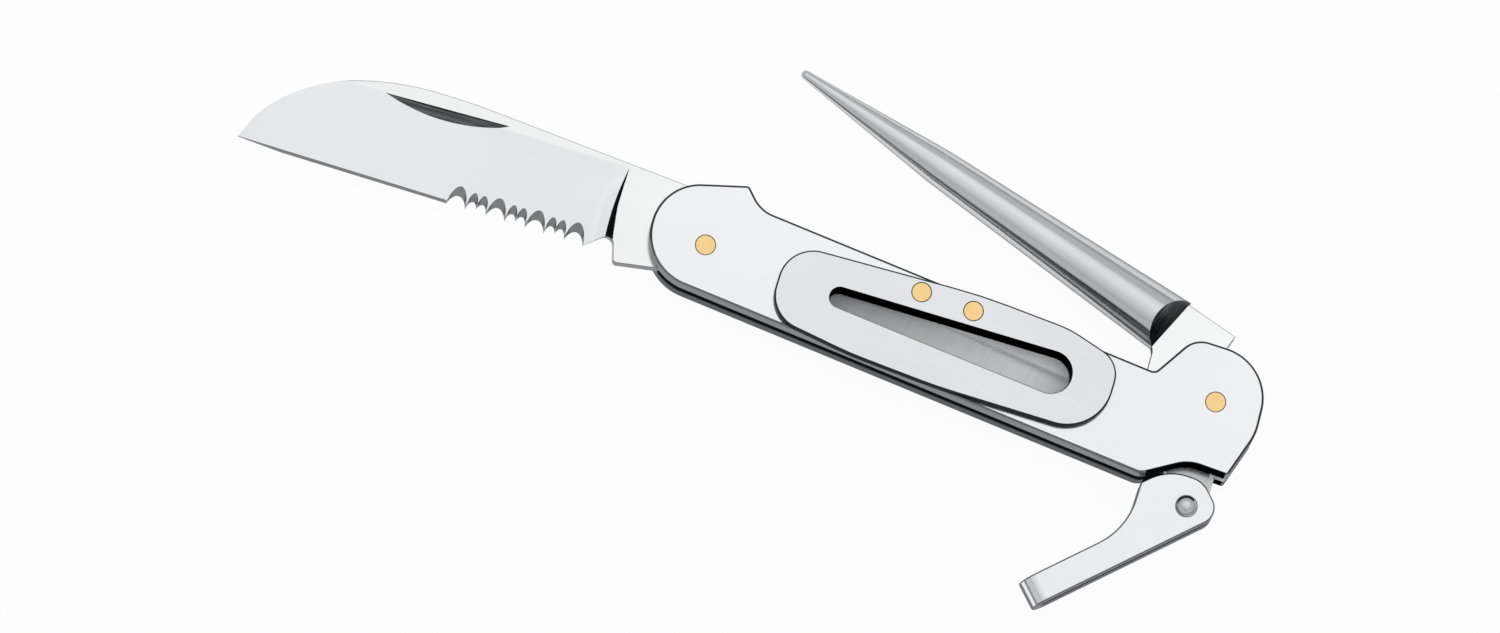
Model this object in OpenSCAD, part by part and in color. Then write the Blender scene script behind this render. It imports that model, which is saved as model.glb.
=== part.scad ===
// Rigging knife: a locking folder with a sheepfoot blade, a marlin spike, a shackle key and a bail.
// It lies on its rear scale. X runs along the two pivots, Y towards the back (spike side), Z through
// the thickness. The origin is midway between the pivots, on the rear scale's outer face.
// Every length is in millimetres.

/* [Handle] */
// Distance between the blade pivot and the spike pivot
pin_span = 93; // [84:1:112]
// Thickness of each scale
scale_t = 3.7; // [3.1:0.1:4.5]
// Space between the scales
gap = 3.0; // [2.5:0.1:3.6]
// Diameter of the two pivot rivets
pivot_d = 3.6; // [3.0:0.1:4.4]
// Diameter of the two spring rivets
rivet_d = 3.5; // [2.9:0.1:4.2]

/* [Key plate] */
// Thickness of the raised key plate
key_t = 1.8; // [1.5:0.1:2.2]
// Width of the narrow end of the shackle slot
slot_narrow = 3.5; // [3.0:0.1:4.2]
// Width of the wide end of the shackle slot
slot_wide = 7.4; // [6.2:0.1:8.4]

/* [Blade] */
// Height of the cutting edge below the pivot
edge_drop = 5.4; // [4.6:0.1:5.8]
// Distance from the folded blade's tip to the spike pivot, along the handle
tip_gap = 9.4; // [8.8:0.1:13]
// Width of one large serration
scallop_w = 3.65; // [3.2:0.05:4.2]
// Width of one small serration
notch_w = 1.75; // [1.5:0.05:2.1]
// How far the nail nick is sunk into the blade
nick_depth = 0.5; // [0.3:0.05:0.7]

/* [Marlin spike] */
// Diameter of the spike at its base
spike_d = 10.7; // [8.9:0.1:12.8]
// Diameter of the spike at its tip
tip_d = 1.6; // [1.2:0.1:2]
// Width of the spike where its taper steepens
swell_d = 6.6; // [5.6:0.1:7.4]
// Angle of the spike from fully open, as drawn
spike_angle = 162.1; // [0:0.2:177.2]

/* [Bail] */
// Thickness of the bail's strap
strap_t = 1.6; // [1.3:0.1:1.9]
// Width of the bail's strap at its bend
strap_w = 5.2; // [4.4:0.1:5.8]
// Reach of the bail from its rivet
bail_reach = 32.1; // [27:0.1:38]
// Angle of the bail, as drawn
bail_angle = 223.6; // [220:0.2:370]
// Diameter of the bail rivet's shank
bail_pin_d = 2.4; // [2.0:0.1:2.8]

/* [Clearances] */
// Space on each side of a moving piece between the scales
side_clear = 0.1; // [0.05:0.01:0.2]
// Radial clearance of a turning piece on its rivet
pin_clear = 0.05; // [0.03:0.01:0.08]
// Space between edges that move past each other
edge_clear = 0.3; // [0.25:0.01:0.4]

/* [Hidden] */
$fn = 64;
arc_step = 9;                            // degrees turned by one flat of a rounded corner
over = 1;                                // how far a cutter runs past what it cuts

thickness = 2 * scale_t + gap;
front_z = scale_t + gap;                 // inner face of the front scale
mid_z = scale_t + gap / 2;
tang_t = gap - 2 * side_clear;
blade_pin = [-pin_span / 2, 0];
spike_pin = [pin_span / 2, 0];
left_rivet = blade_pin + [38.4, 2.9];
right_rivet = blade_pin + [48.0, 2.4];
bail_pin = spike_pin + [0.4, -18.8];
notch_r = 7.1;                           // hollow in the scales round the bail's eye
scale_edge_step = 0.2;                   // springs lie this far below the scales' edges

blade_rim_r = 5.5;                       // round part of the blade's tang
spike_rim_r = 7.5;                       // round part of the spike's tang
back_x = -0.5;                           // the blade's back square, from its pin

reach = pin_span - tip_gap;              // blade pivot to tip, along the edge
edge_t = 0.3;                            // thickness left behind the edge
grind_top = 9.3;                         // the flat grind starts this far above the pin
grind_run = grind_top + edge_drop;
grind_slope = (tang_t - edge_t) / 2 / grind_run;
plunge_x = -17.3;                        // the flat grind ends here, from the pin
kick_angle = -116;                       // the round part of the tang ends here, below the pin
serration_start = -20.4;                 // heel end of the serrations, from the pin
scallop_top = 3.6;                       // height of a large serration on the ground face
notch_top = 3.2;                         // height of a small serration on the ground face
cutter_tilt = 66;                        // the serrations are ground across the blade at this angle
cutter_fit = 0.56;                       // radius of a serration's cutter over its width
nick_place = [33.6, 10.3];               // middle of the nail nick, from the tip and above the pin
nick_turn = 1.9;                         // the nick's line, from the blade's own
nick_chord = 22.3;                       // length of the nick
nick_bow = 2.7;                          // height of the nick

spike_reach = pin_span - 0.4;              // spike pivot to tip, along the spike
spike_rise = 2.3;                        // lowest line of the spike above its pin when shut
swell_share = 0.63;                       // the taper steepens this far along the round
spike_base = 14.2;                       // pivot to the spike's shoulder, along the spike
shoulder_tilt = -6.6;                    // the shoulder's line from square
shoulder_slope = 52;                     // the shoulder's face from the tang's face
stop_x = 3.85;                           // square step that meets the lug when open
stop_y = -12.4;                          // far edge of that step

lug_r = 3.3;                             // round end of the lug, about the bail's rivet
eye_edge = 4.1;                          // straight edge of the bail, from its rivet
dome_d = 4.0;                            // heads of the bail's rivet
dome_h = 1.2;

// ---- Outlines -------------------------------------------------------------------------------

function flat(p) = [p.x, p.y];
function unit(v) = v / norm(v);
function shift(origin, corners) = [for (c = corners) [origin.x + c.x, origin.y + c.y, c.z]];

// The shorter way round from one angle to another
function sweep_of(turn) = turn > 180 ? turn - 360 : turn < -180 ? turn + 360 : turn;

// The points of an arc that rounds the corner at `at` with radius r
function corner(before, at, after, r) =
    let (a = unit(before - at), b = unit(after - at), half = acos(a * b) / 2,
         centre = at + unit(a + b) * r / sin(half),
         first = at + a * r / tan(half) - centre,
         last = at + b * r / tan(half) - centre,
         start = atan2(first.y, first.x),
         sweep = sweep_of(atan2(last.y, last.x) - start),
         steps = max(2, ceil(abs(sweep) / arc_step)))
    [for (i = [0:steps]) let (t = start + sweep * i / steps) centre + r * [cos(t), sin(t)]];

// A closed outline from corners [x, y, radius]
function rounded(corners) =
    let (n = len(corners))
    [for (i = [0:n - 1])
        let (before = corners[(i + n - 1) % n], at = corners[i], after = corners[(i + 1) % n])
        each at.z == 0 ? [flat(at)] : corner(flat(before), flat(at), flat(after), at.z)];

// Points of an arc about `centre`, from angle a to angle b
function arc(centre, r, a, b) =
    let (steps = ceil(abs(b - a) / arc_step))
    [for (i = [0:steps]) let (t = a + (b - a) * i / steps) centre + r * [cos(t), sin(t)]];

// The straight back of the handle, between the two lobes
back_left = blade_pin + [7.5, 8.95];
back_right = spike_pin + [-11.6, 1.97];
back_slope = (back_right.y - back_left.y) / (back_right.x - back_left.x);
function back_y(x) = back_left.y + (x - back_left.x) * back_slope;

scale_corners = concat(
    shift(blade_pin, [[-10.1, -7.1, 9.4], [-10.2, 8.5, 8.8], [4.3, 12.4, 0.9]]),
    [[back_left.x, back_left.y, 6], [back_right.x, back_right.y, 1.2]],
    shift(spike_pin, [[-6.6, 9.9, 4.6], [7.8, 9.7, 9.2], [8.45, -3.4, 10], [5.7, -11.95, 0.6]]),
    shift(bail_pin, [[-1.9, notch_r + 0.1, notch_r]]),
    shift(spike_pin, [[-8.9, -16.1, 3]]));

key_corners = concat(
    shift(blade_pin, [[29.5, -11.4, 60], [13.8, -9.0, 6.3], [13.8, 4.45, 6.3]]),
    [[2, 5.6, 100]],
    shift(spike_pin, [[-28, 4.5, 20], [-17.8, 1.4, 5], [-17.8, -12.5, 8.3]]),
    [[-1, -12.5, 90]]);

// The shackle slot tapers between two round ends
slot_left = blade_pin + [25.1, -2.3];
slot_right = spike_pin + [-29.1, -3.95];

module slot_outline() {
    lean = asin((slot_wide - slot_narrow) / 2 / norm(slot_right - slot_left));
    along = atan2(slot_right.y - slot_left.y, slot_right.x - slot_left.x);
    polygon(concat(arc(slot_left, slot_narrow / 2, along + 90 + lean, along + 270 - lean),
                   arc(slot_right, slot_wide / 2, along - 90 - lean, along + 90 + lean)));
}

module rivet_holes() {
    for (p = [blade_pin, spike_pin])
        translate(p) circle(d = pivot_d);
    for (p = [left_rivet, right_rivet])
        translate(p) circle(d = rivet_d);
}

// ---- Handle ---------------------------------------------------------------------------------

module rear_scale() {
    color("lightgray")
    linear_extrude(scale_t)
    difference() {
        polygon(rounded(scale_corners));
        rivet_holes();
    }
}

module front_scale() {
    color("lightgray")
    translate([0, 0, front_z])
    linear_extrude(scale_t)
    difference() {
        polygon(rounded(scale_corners));
        rivet_holes();
        slot_outline();
    }
}

module key_plate() {
    color("gainsboro")
    translate([0, 0, thickness])
    linear_extrude(key_t)
    difference() {
        polygon(rounded(key_corners));
        rivet_holes();
        slot_outline();
    }
}

module rivet(place, d, length) {
    color("goldenrod")
    translate(place) cylinder(h = length, d = d);
}

module blade_pivot() rivet(blade_pin, pivot_d, thickness);
module spike_pivot() rivet(spike_pin, pivot_d, thickness);
module spring_rivet() rivet(left_rivet, rivet_d, thickness + key_t);
module lock_rivet() rivet(right_rivet, rivet_d, thickness + key_t);

// ---- Springs --------------------------------------------------------------------------------

butt_x = (left_rivet.x + right_rivet.x) / 2;

// Clamped between the scales, and bears on the blade's tang
module blade_spring() {
    rim = blade_rim_r + edge_clear;
    rim_end = 62;
    color("silver")
    translate([0, 0, scale_t])
    linear_extrude(gap)
    difference() {
        polygon(concat(
            arc(blade_pin, rim, 90, rim_end),
            [blade_pin + [15.5, 5.45], blade_pin + [17.5, 5.1], blade_pin + [33, 1.3],
             [butt_x - edge_clear, 0.2],
             [butt_x - edge_clear, back_y(butt_x) - scale_edge_step],
             [back_left.x, back_left.y - 2 * scale_edge_step],
             blade_pin + [back_x + edge_clear, 9.3],
             blade_pin + [back_x + edge_clear, rim]]));
        translate(left_rivet) circle(d = rivet_d);
    }
}

// Runs over the folded blade, round its tip and under the spike's tang, to the bail's lug
module lock_spring() {
    rim = spike_rim_r + edge_clear;
    crook_y = -1.9;
    face_x = stop_x - edge_clear / 2;
    color("silver")
    translate([0, 0, scale_t + side_clear])
    linear_extrude(tang_t)
    difference() {
        polygon(concat(
                [[butt_x, 0], [butt_x, back_y(butt_x) - scale_edge_step],
                 [spike_pin.x - 17, back_y(spike_pin.x - 17) - scale_edge_step],
                 spike_pin + [-14.2, crook_y]],
                arc(spike_pin, rim, 180 + asin(-crook_y / rim), 360 - acos(face_x / rim)),
                arc(bail_pin, lug_r, 0, -180),
                [bail_pin + [-lug_r, 3.6]],
                [for (p = [[-5.3, -13.4], [-7.1, -10], [-8, -7], [-9.7, -4.9]]) spike_pin + p]));
        translate(right_rivet) circle(d = rivet_d + 2 * pin_clear);
        translate(bail_pin) circle(d = bail_pin_d);
    }
}

// ---- Blade ----------------------------------------------------------------------------------

// The blade, with its pivot at the origin and its tip to the left
blade_corners = concat(
    [[-reach, 0.5 - edge_drop, 0], [-reach + 2.2, 0.4, 15], [-reach + 5.8, 4.35, 22],
     [-reach + 10.2, 7.62, 29], [-reach + 14.9, 10.04, 26], [-reach + 21.7, 11.98, 43],
     [-reach + 28.8, 12.86, 55], [-reach + 38.5, 12.75, 90], [plunge_x, 10.8, 0], [back_x, 9.65, 0.3]],
    [for (p = arc([0, 0], blade_rim_r, 90 - asin(back_x / blade_rim_r), kick_angle)) [p.x, p.y, 0]],
    [[-14.6, -edge_drop - 1.6, 0.8], [-16.1, 3.7 - edge_drop, 1.4],
     [serration_start, -edge_drop, 0], [-reach + 8, -edge_drop, 20]]);

module blade_blank() {
    translate([0, 0, -tang_t / 2])
    linear_extrude(tang_t)
    difference() {
        polygon(rounded(blade_corners));
        circle(d = pivot_d + 2 * pin_clear);
    }
}

// What the flat grind takes off one face, from the plunge line to the tip
module grind() {
    translate([plunge_x, 0, 0])
    rotate([90, 0, -90])
    linear_extrude(reach)
    polygon([[-grind_top, tang_t / 2], [edge_drop + over, edge_t / 2 - grind_slope * over],
             [edge_drop + over, tang_t], [-grind_top, tang_t]]);
}

// One serration: a round cutter that leans across the blade, from the ground face to the edge
module serration(x, w, top) {
    face_z = edge_t / 2 + grind_slope * top;
    cutter_r = cutter_fit * w;
    translate([x, top - edge_drop, face_z])
    rotate([-cutter_tilt, 0, 0])
    translate([0, -cutter_r, 0])
    cylinder(h = 4 * top, r = cutter_r, center = true);
}

module serrations() {
    pitch = scallop_w + 2 * notch_w;
    for (i = [0:3])
        serration(serration_start - scallop_w / 2 - i * pitch, scallop_w, scallop_top);
    for (i = [0:2], j = [0:1])
        serration(serration_start - scallop_w - notch_w * (j + 0.5) - i * pitch, notch_w, notch_top);
}

// A shallow cut by the rim of a wide wheel, straight along the spine side
module nail_nick() {
    wheel_r = nick_chord * nick_chord / (8 * nick_depth);
    translate([-reach + nick_place.x, nick_place.y, tang_t / 2 - nick_depth])
    rotate([0, 0, nick_turn])
    rotate([90 - atan(nick_depth / nick_bow), 0, 0])
    translate([0, wheel_r, 0])
    cylinder(h = 2 * nick_bow, r = wheel_r, $fn = 128);
}

module blade() {
    color("whitesmoke")
    translate([blade_pin.x, blade_pin.y, mid_z])
    difference() {
        blade_blank();
        grind();
        mirror([0, 0, 1]) grind();
        serrations();
        nail_nick();
    }
}

// ---- Marlin spike ---------------------------------------------------------------------------

// The spike's tang, in its open position with its pin at the origin
module spike_tang() {
    translate([0, 0, -tang_t / 2])
    linear_extrude(tang_t)
    difference() {
        union() {
            polygon(rounded([[stop_x, stop_y, 0.2], [spike_base + 3, stop_y, 0],
                             [spike_base + 3, -spike_rise - 2, 0], [spike_base + 0.5, -spike_rise, 0],
                             [spike_base, -1.7, 0.3], [13.2, 1.2, 0.3], [12.8, 1.9, 0.4],
                             [-2.5, 1.9, 0], [-2.5, -5.5, 0], [stop_x, -5.5, 0]]));
            circle(r = spike_rim_r);
        }
        circle(d = pivot_d + 2 * pin_clear);
    }
}

// The round tapered spike, cut back on both faces to the tang
module spike_body() {
    axis_y = -spike_rise - spike_d / 2;
    length = spike_reach - spike_base;
    swell_x = swell_share * length;
    taper = (spike_d - swell_d) / 2 / swell_x;
    ball_r = tip_d / 2;
    difference() {
        union() {
            translate([spike_base - over, axis_y, 0])
            rotate([0, 90, 0])
            cylinder(h = swell_x + over, r1 = spike_d / 2 + taper * over, r2 = swell_d / 2);
            translate([spike_base + swell_x, axis_y, 0])
            rotate([0, 90, 0])
            cylinder(h = length - swell_x - ball_r, r1 = swell_d / 2, r2 = ball_r);
            translate([spike_reach - ball_r, axis_y, 0])
            sphere(r = ball_r);
        }
        translate([spike_base, axis_y, 0])
        rotate([0, 0, shoulder_tilt]) {
            translate([-spike_d, -spike_d, -spike_d]) cube([spike_d, 2 * spike_d, 2 * spike_d]);
            for (side = [0, 1])
                mirror([0, 0, side])
                rotate([90, 0, 0])
                linear_extrude(2 * spike_d, center = true)
                polygon([[-over, tang_t / 2 - over * tan(shoulder_slope)], [-over, spike_d],
                         [(spike_d - tang_t / 2) / tan(shoulder_slope), spike_d]]);
        }
    }
}

module marlin_spike() {
    color("gainsboro")
    translate([spike_pin.x, spike_pin.y, mid_z])
    rotate([0, 0, spike_angle]) {
        spike_body();
        spike_tang();
    }
}

// ---- Bail -----------------------------------------------------------------------------------

arm_gap = tang_t + 2 * side_clear;
bend_r = arm_gap / 2 + strap_t;

// One arm of the bail, with its rivet at the origin and its far end along +X
module bail_arm() {
    arm_end = bail_reach - bend_r;
    linear_extrude(strap_t)
    difference() {
        polygon(rounded([[arm_end, eye_edge, 0], [-4.7, eye_edge, 3.1], [-4.7, -2.6, 4.5],
                         [-0.3, -7.3, 9], [5.2, -7.3, 0.8],
                         [11.3, eye_edge - strap_w, 13], [arm_end, eye_edge - strap_w, 0]]));
        circle(d = bail_pin_d + 2 * pin_clear);
    }
}

module bail() {
    color("whitesmoke")
    translate([bail_pin.x, bail_pin.y, mid_z])
    rotate([0, 0, bail_angle]) {
        translate([0, 0, arm_gap / 2]) bail_arm();
        translate([0, 0, -bend_r]) bail_arm();
        translate([bail_reach - bend_r, eye_edge, 0])
        rotate([90, 90, 0])
        rotate_extrude(angle = 180)
        translate([arm_gap / 2, 0]) square([strap_t, strap_w]);
    }
}

// A domed rivet, fixed in the spring's lug
module bail_rivet() {
    seat = bend_r + pin_clear;
    dome_r = (dome_d * dome_d / 4 + dome_h * dome_h) / (2 * dome_h);
    color("silver")
    translate([bail_pin.x, bail_pin.y, mid_z]) {
        translate([0, 0, -seat]) cylinder(h = 2 * seat, d = bail_pin_d);
        for (side = [0, 1])
            mirror([0, 0, side])
            intersection() {
                translate([0, 0, seat + dome_h - dome_r]) sphere(r = dome_r);
                translate([0, 0, seat]) cylinder(h = dome_h + over, d = dome_d + over);
            }
    }
}

rear_scale();
front_scale();
key_plate();
blade_pivot();
spike_pivot();
spring_rivet();
lock_rivet();
blade_spring();
lock_spring();
blade();
marlin_spike();
bail();
bail_rivet();
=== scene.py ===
"""Looks of the rigging knife: smooth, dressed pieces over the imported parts, the studio and the camera.

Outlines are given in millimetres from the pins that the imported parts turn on.
"""

import logging
import math
from dataclasses import dataclass, field
from enum import Enum, IntEnum
from typing import Mapping, NamedTuple, Sequence

import bmesh
import bpy
import numpy as np
from mathutils import Matrix, Vector
from mathutils.geometry import tessellate_polygon

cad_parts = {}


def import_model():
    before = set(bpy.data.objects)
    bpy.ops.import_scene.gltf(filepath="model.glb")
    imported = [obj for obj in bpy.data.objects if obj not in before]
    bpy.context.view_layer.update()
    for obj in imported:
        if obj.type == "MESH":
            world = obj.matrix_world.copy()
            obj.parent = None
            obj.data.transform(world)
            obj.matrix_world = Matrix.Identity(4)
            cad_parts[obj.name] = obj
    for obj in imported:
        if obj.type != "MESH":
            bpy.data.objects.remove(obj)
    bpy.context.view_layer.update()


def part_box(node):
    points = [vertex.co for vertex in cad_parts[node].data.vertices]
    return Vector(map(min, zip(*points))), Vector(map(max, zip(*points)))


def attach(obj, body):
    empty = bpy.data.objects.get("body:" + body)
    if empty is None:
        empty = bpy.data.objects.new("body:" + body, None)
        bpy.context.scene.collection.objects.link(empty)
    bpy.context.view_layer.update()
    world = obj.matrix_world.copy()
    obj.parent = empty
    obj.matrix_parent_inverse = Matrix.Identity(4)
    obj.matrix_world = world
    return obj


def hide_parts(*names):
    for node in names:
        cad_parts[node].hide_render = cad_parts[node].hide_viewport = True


Tree = bpy.types.NodeTree
Socket = bpy.types.NodeSocket
Object = bpy.types.Object
Material = bpy.types.Material

MM = 0.001
# Turn between two points of an arc, and the bend below which a bare corner is shaded smooth
ARC_STEP = math.radians(3.0)
SMOOTH_BEND = math.radians(12.0)
# A turned surface has this many facets, and a sharp edge where its profile bends by more than this
FACETS = 96
SHARP_BEND = math.radians(40.0)
# Points closer than this are one, and points this near an edge lie on it, in millimetres
SAME_POINT = 1e-5
ON_EDGE = 1e-4
# Radius that stands for a point on the axis of a turned surface
AXIS_R = 1e-4
# Turns and areas smaller than these are none
NO_TURN = 1e-6
NO_AREA = 1e-9
# Vertices closer than this are welded, in metres
WELD = 2e-7
# Radial clearance of a turning piece on its pin
PIN_CLEAR = 0.05
# Walls whose normals lie above these along +Y: the upper rounding that takes the painted back shade, and the
# slot's lower wall, kept light while the other slot walls carry painted shade
BACK_SHADE_FACING = -0.3
LIGHT_WALL_FACING = 0.35
# Mirrors a shape to its other face
OTHER_FACE = Matrix.Scale(-1, 4, (0, 0, 1))
WHITE = (1.0, 1.0, 1.0, 1.0)
# The handle's belly falls by this angle towards the bail, and lies this far from the axis
BELLY_SLOPE = 5.46
BELLY_LEVEL = -12.45
# Near black painted into the inner face towards the belly: painted shade in the gap between the scales
GAP_SHADE_COLOUR = "0C0D0E"
log = logging.getLogger("rigging_knife")


class Body(str, Enum):
    """The bodies that pieces ride on."""

    HANDLE = "handle"
    BLADE = "blade"
    SPIKE = "spike"
    LOCK = "lock"
    BAIL = "bail"


class Side(IntEnum):
    """Which finish a face of a plate takes."""

    FLAT = 0
    EDGE = 1
    INNER = 2
    BORE = 3
    # Upper rounding that carries painted shade
    BACK_SHADE = 4


# ---- Outlines -------------------------------------------------------------------------------


class Corner(NamedTuple):
    """A corner of a closed outline, in millimetres, and the radius that rounds it."""

    x: float
    y: float
    r: float = 0.0


@dataclass(frozen=True)
class Outline:
    """A closed outline of rounded corners.

    Material lies to the left of its direction of travel, so an outer outline runs anticlockwise
    and a hole runs clockwise.
    """

    corners: tuple[Corner, ...]

    @staticmethod
    def at(origin: Sequence[float], *corners: tuple[float, ...]) -> tuple[Corner, ...]:
        """Corners given from a point."""
        return tuple(Corner(origin[0] + c[0], origin[1] + c[1], *c[2:]) for c in corners)

    @classmethod
    def circle(cls, centre: Sequence[float], radius: float, hole: bool = True) -> "Outline":
        """A circle, as a square whose corners are fully rounded.

        Args:
            centre: The circle's centre.
            radius: Its radius.
            hole: Whether material lies outside it.

        Returns:
            The outline.
        """
        signs = [(1, 1), (-1, 1), (-1, -1), (1, -1)]
        made = cls(cls.at(centre, *[(sx * radius, sy * radius, radius * 0.9999) for sx, sy in signs]))
        return made.turned(not hole)

    def turned(self, anticlockwise: bool) -> "Outline":
        """The same outline, running the asked way round.

        Args:
            anticlockwise: The wanted direction.

        Returns:
            The outline, reversed where needed.
        """
        area = sum(
            a.x * b.y - b.x * a.y for a, b in zip(self.corners, self.corners[1:] + self.corners[:1])
        )
        if (area > 0) == anticlockwise:
            return self
        return Outline(self.corners[::-1])

    def trace(self, inset: float = 0.0, fixed: int = -1) -> tuple[np.ndarray, np.ndarray]:
        """Points and outward normals along the outline, moved into the material.

        The number of points doesn't depend on the inset, so two traces join into a band.

        Args:
            inset: How far each edge moves into the material.
            fixed: Index of the edge that stays put, counted from the corner it starts at.

        Returns:
            Arrays of points and of normals, one row each.
        """
        points, normals = [], []
        count = len(self.corners)
        spots = [np.array((c.x, c.y)) for c in self.corners]
        moves = [0.0 if i == fixed else inset for i in range(count)]
        outward = []
        for i in range(count):
            along = spots[(i + 1) % count] - spots[i]
            along = along / np.linalg.norm(along)
            outward.append(np.array((along[1], -along[0])))
        for i, corner in enumerate(self.corners):
            before, after = outward[i - 1], outward[i]
            cross = before[0] * after[1] - before[1] * after[0]
            turn = math.atan2(cross, float(before @ after))
            system = np.array((before, after))
            if abs(cross) > NO_TURN:
                shift = np.linalg.solve(system, np.array((-moves[i - 1], -moves[i])))
            else:
                shift = -before * moves[i]
            spot = spots[i] + shift
            side = 1.0 if turn > 0 else -1.0
            radius = max(0.0, corner.r - side * inset) if corner.r > 0 else 0.0
            if corner.r <= 0 and abs(turn) < SMOOTH_BEND:
                before = after = (before + after) / np.linalg.norm(before + after)
                turn = 0.0
            steps = max(2, math.ceil(abs(turn) / ARC_STEP)) if corner.r > 0 else 1
            centre = spot - side * radius * (before + after) / (1.0 + float(before @ after))
            start = math.atan2(before[1], before[0])
            for k in range(steps + 1):
                angle = start + turn * k / steps
                normal = np.array((math.cos(angle), math.sin(angle)))
                points.append(centre + side * radius * normal)
                normals.append(normal)
        return np.array(points), np.array(normals)


# ---- Meshes ---------------------------------------------------------------------------------


def put(name: str, data: bpy.types.ID) -> Object:
    """Adds an object to the scene.

    Args:
        name: The object's name.
        data: Its mesh, lamp or camera.

    Returns:
        The object.
    """
    made = bpy.data.objects.new(name, data)
    bpy.context.scene.collection.objects.link(made)
    return made


@dataclass
class Shape:
    """A mesh under construction, in millimetres, with a normal at each vertex."""

    points: list[tuple[float, float, float]] = field(default_factory=list)
    normals: list[tuple[float, float, float]] = field(default_factory=list)
    faces: list[tuple[int, ...]] = field(default_factory=list)
    sides: list[int] = field(default_factory=list)

    def ring(self, points: np.ndarray, normals: np.ndarray) -> list[int]:
        """Adds a row of points with their normals and returns their indices.

        Args:
            points: Rows of x, y, z.
            normals: Rows of x, y, z.

        Returns:
            The new vertices' indices.
        """
        first = len(self.points)
        self.points += [tuple(map(float, p)) for p in points]
        self.normals += [tuple(map(float, n)) for n in normals]
        return list(range(first, len(self.points)))

    def row(self, points: Sequence[Sequence[float]]) -> list[int]:
        """Adds points of a solid that cuts or is cut, whose normals come later."""
        return self.ring(np.array(points), np.zeros((len(points), 3)))

    def face(self, indices: Sequence[int], side: int) -> None:
        """Adds a face, leaving out corners that lie on the one before.

        Args:
            indices: The face's vertices, anticlockwise from outside.
            side: The finish slot.
        """
        kept: list[int] = []
        for i in indices:
            if not kept or math.dist(self.points[i], self.points[kept[-1]]) > SAME_POINT:
                kept.append(i)
        if len(kept) > 1 and math.dist(self.points[kept[0]], self.points[kept[-1]]) < SAME_POINT:
            kept.pop()
        if len(kept) > 2:
            self.faces.append(tuple(kept))
            self.sides.append(int(side))

    def band(self, low: Sequence[int], high: Sequence[int], side: int, closed: bool = True) -> None:
        """Joins two rows of vertices with quads.

        Args:
            low: The row on the right of the way up.
            high: The row above it.
            side: The finish slot.
            closed: Whether the last point joins the first.
        """
        count = len(low)
        for i in range(count if closed else count - 1):
            j = (i + 1) % count
            self.face((low[i], low[j], high[j], high[i]), side)

    def cap(self, rings: Sequence[Sequence[int]], up: bool, side: int) -> None:
        """Fills the area between an outer row and its holes.

        Args:
            rings: The outer row first, then the holes.
            up: Whether the cap faces +Z.
            side: The finish slot.
        """
        flat = [i for ring in rings for i in ring]
        loops = [[Vector(self.points[i][:2] + (0.0,)) for i in ring] for ring in rings]
        for triangle in tessellate_polygon(loops):
            a, b, c = (flat[k] for k in triangle)
            pa, pb, pc = (self.points[k] for k in (a, b, c))
            area = (pb[0] - pa[0]) * (pc[1] - pa[1]) - (pb[1] - pa[1]) * (pc[0] - pa[0])
            if abs(area) > NO_AREA:
                self.face((a, b, c) if (area > 0) == up else (a, c, b), side)

    def moved(self, matrix: Matrix) -> "Shape":
        """The same shape, rigidly moved or mirrored, in millimetres.

        Args:
            matrix: The move.

        Returns:
            A new shape.
        """
        turn = matrix.to_3x3()
        return Shape(
            [tuple(matrix @ Vector(p)) for p in self.points],
            [tuple((turn @ Vector(n)).normalized()) for n in self.normals],
            [f if turn.determinant() > 0 else f[::-1] for f in self.faces],
            list(self.sides),
        )

    def join(self, other: "Shape") -> "Shape":
        """Adds another shape's faces to this one and returns this one.

        Args:
            other: The shape to add.

        Returns:
            This shape.
        """
        first = len(self.points)
        self.points += other.points
        self.normals += other.normals
        self.faces += [tuple(i + first for i in f) for f in other.faces]
        self.sides += other.sides
        return self

    def build(
        self, name: str, finishes: Sequence[Material], weld: bool = False
    ) -> Object:
        """Makes the object and its mesh.

        Args:
            name: The object's name.
            finishes: One material per slot.
            weld: Whether doubled vertices are merged, as a solid to be cut needs.

        Returns:
            The object, at the origin, in metres.
        """
        mesh = bpy.data.meshes.new(name)
        mesh.from_pydata([tuple(c * MM for c in p) for p in self.points], [], self.faces)
        for finish in finishes:
            mesh.materials.append(finish)
        mesh.polygons.foreach_set("material_index", self.sides)
        mesh.polygons.foreach_set("use_smooth", [True] * len(self.faces))
        if weld:
            work = bmesh.new()
            work.from_mesh(mesh)
            bmesh.ops.remove_doubles(work, verts=work.verts, dist=WELD)
            bmesh.ops.recalc_face_normals(work, faces=work.faces)
            work.to_mesh(mesh)
            work.free()
        else:
            mesh.normals_split_custom_set_from_vertices(self.normals)
        return put(name, mesh)


@dataclass(frozen=True)
class Rim:
    """An outline of a plate and how round its two edges are."""

    outline: Outline
    low_edge: float = 0.06
    high_edge: float = 0.06
    side: Side = Side.EDGE
    steps: int = 6
    # Whether the upper rounding facing the back takes the painted back shade
    back_shaded: bool = False

    def profile(self, low: float, high: float) -> list[tuple[float, float, float]]:
        """Inset, height and slope of each row, from the lower face to the upper one.

        Args:
            low: Height of the lower face.
            high: Height of the upper face.

        Returns:
            Rows of inset, height and angle of the normal above level.
        """
        rows = []
        for k in range(self.steps + 1):
            angle = math.pi / 2 * (k / self.steps - 1)
            rows.append(
                (self.low_edge * (1 - math.cos(angle)), low + self.low_edge * (1 + math.sin(angle)), angle)
            )
        for k in range(self.steps + 1):
            angle = math.pi / 2 * k / self.steps
            rows.append(
                (self.high_edge * (1 - math.cos(angle)), high - self.high_edge * (1 - math.sin(angle)), angle)
            )
        return rows


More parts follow.
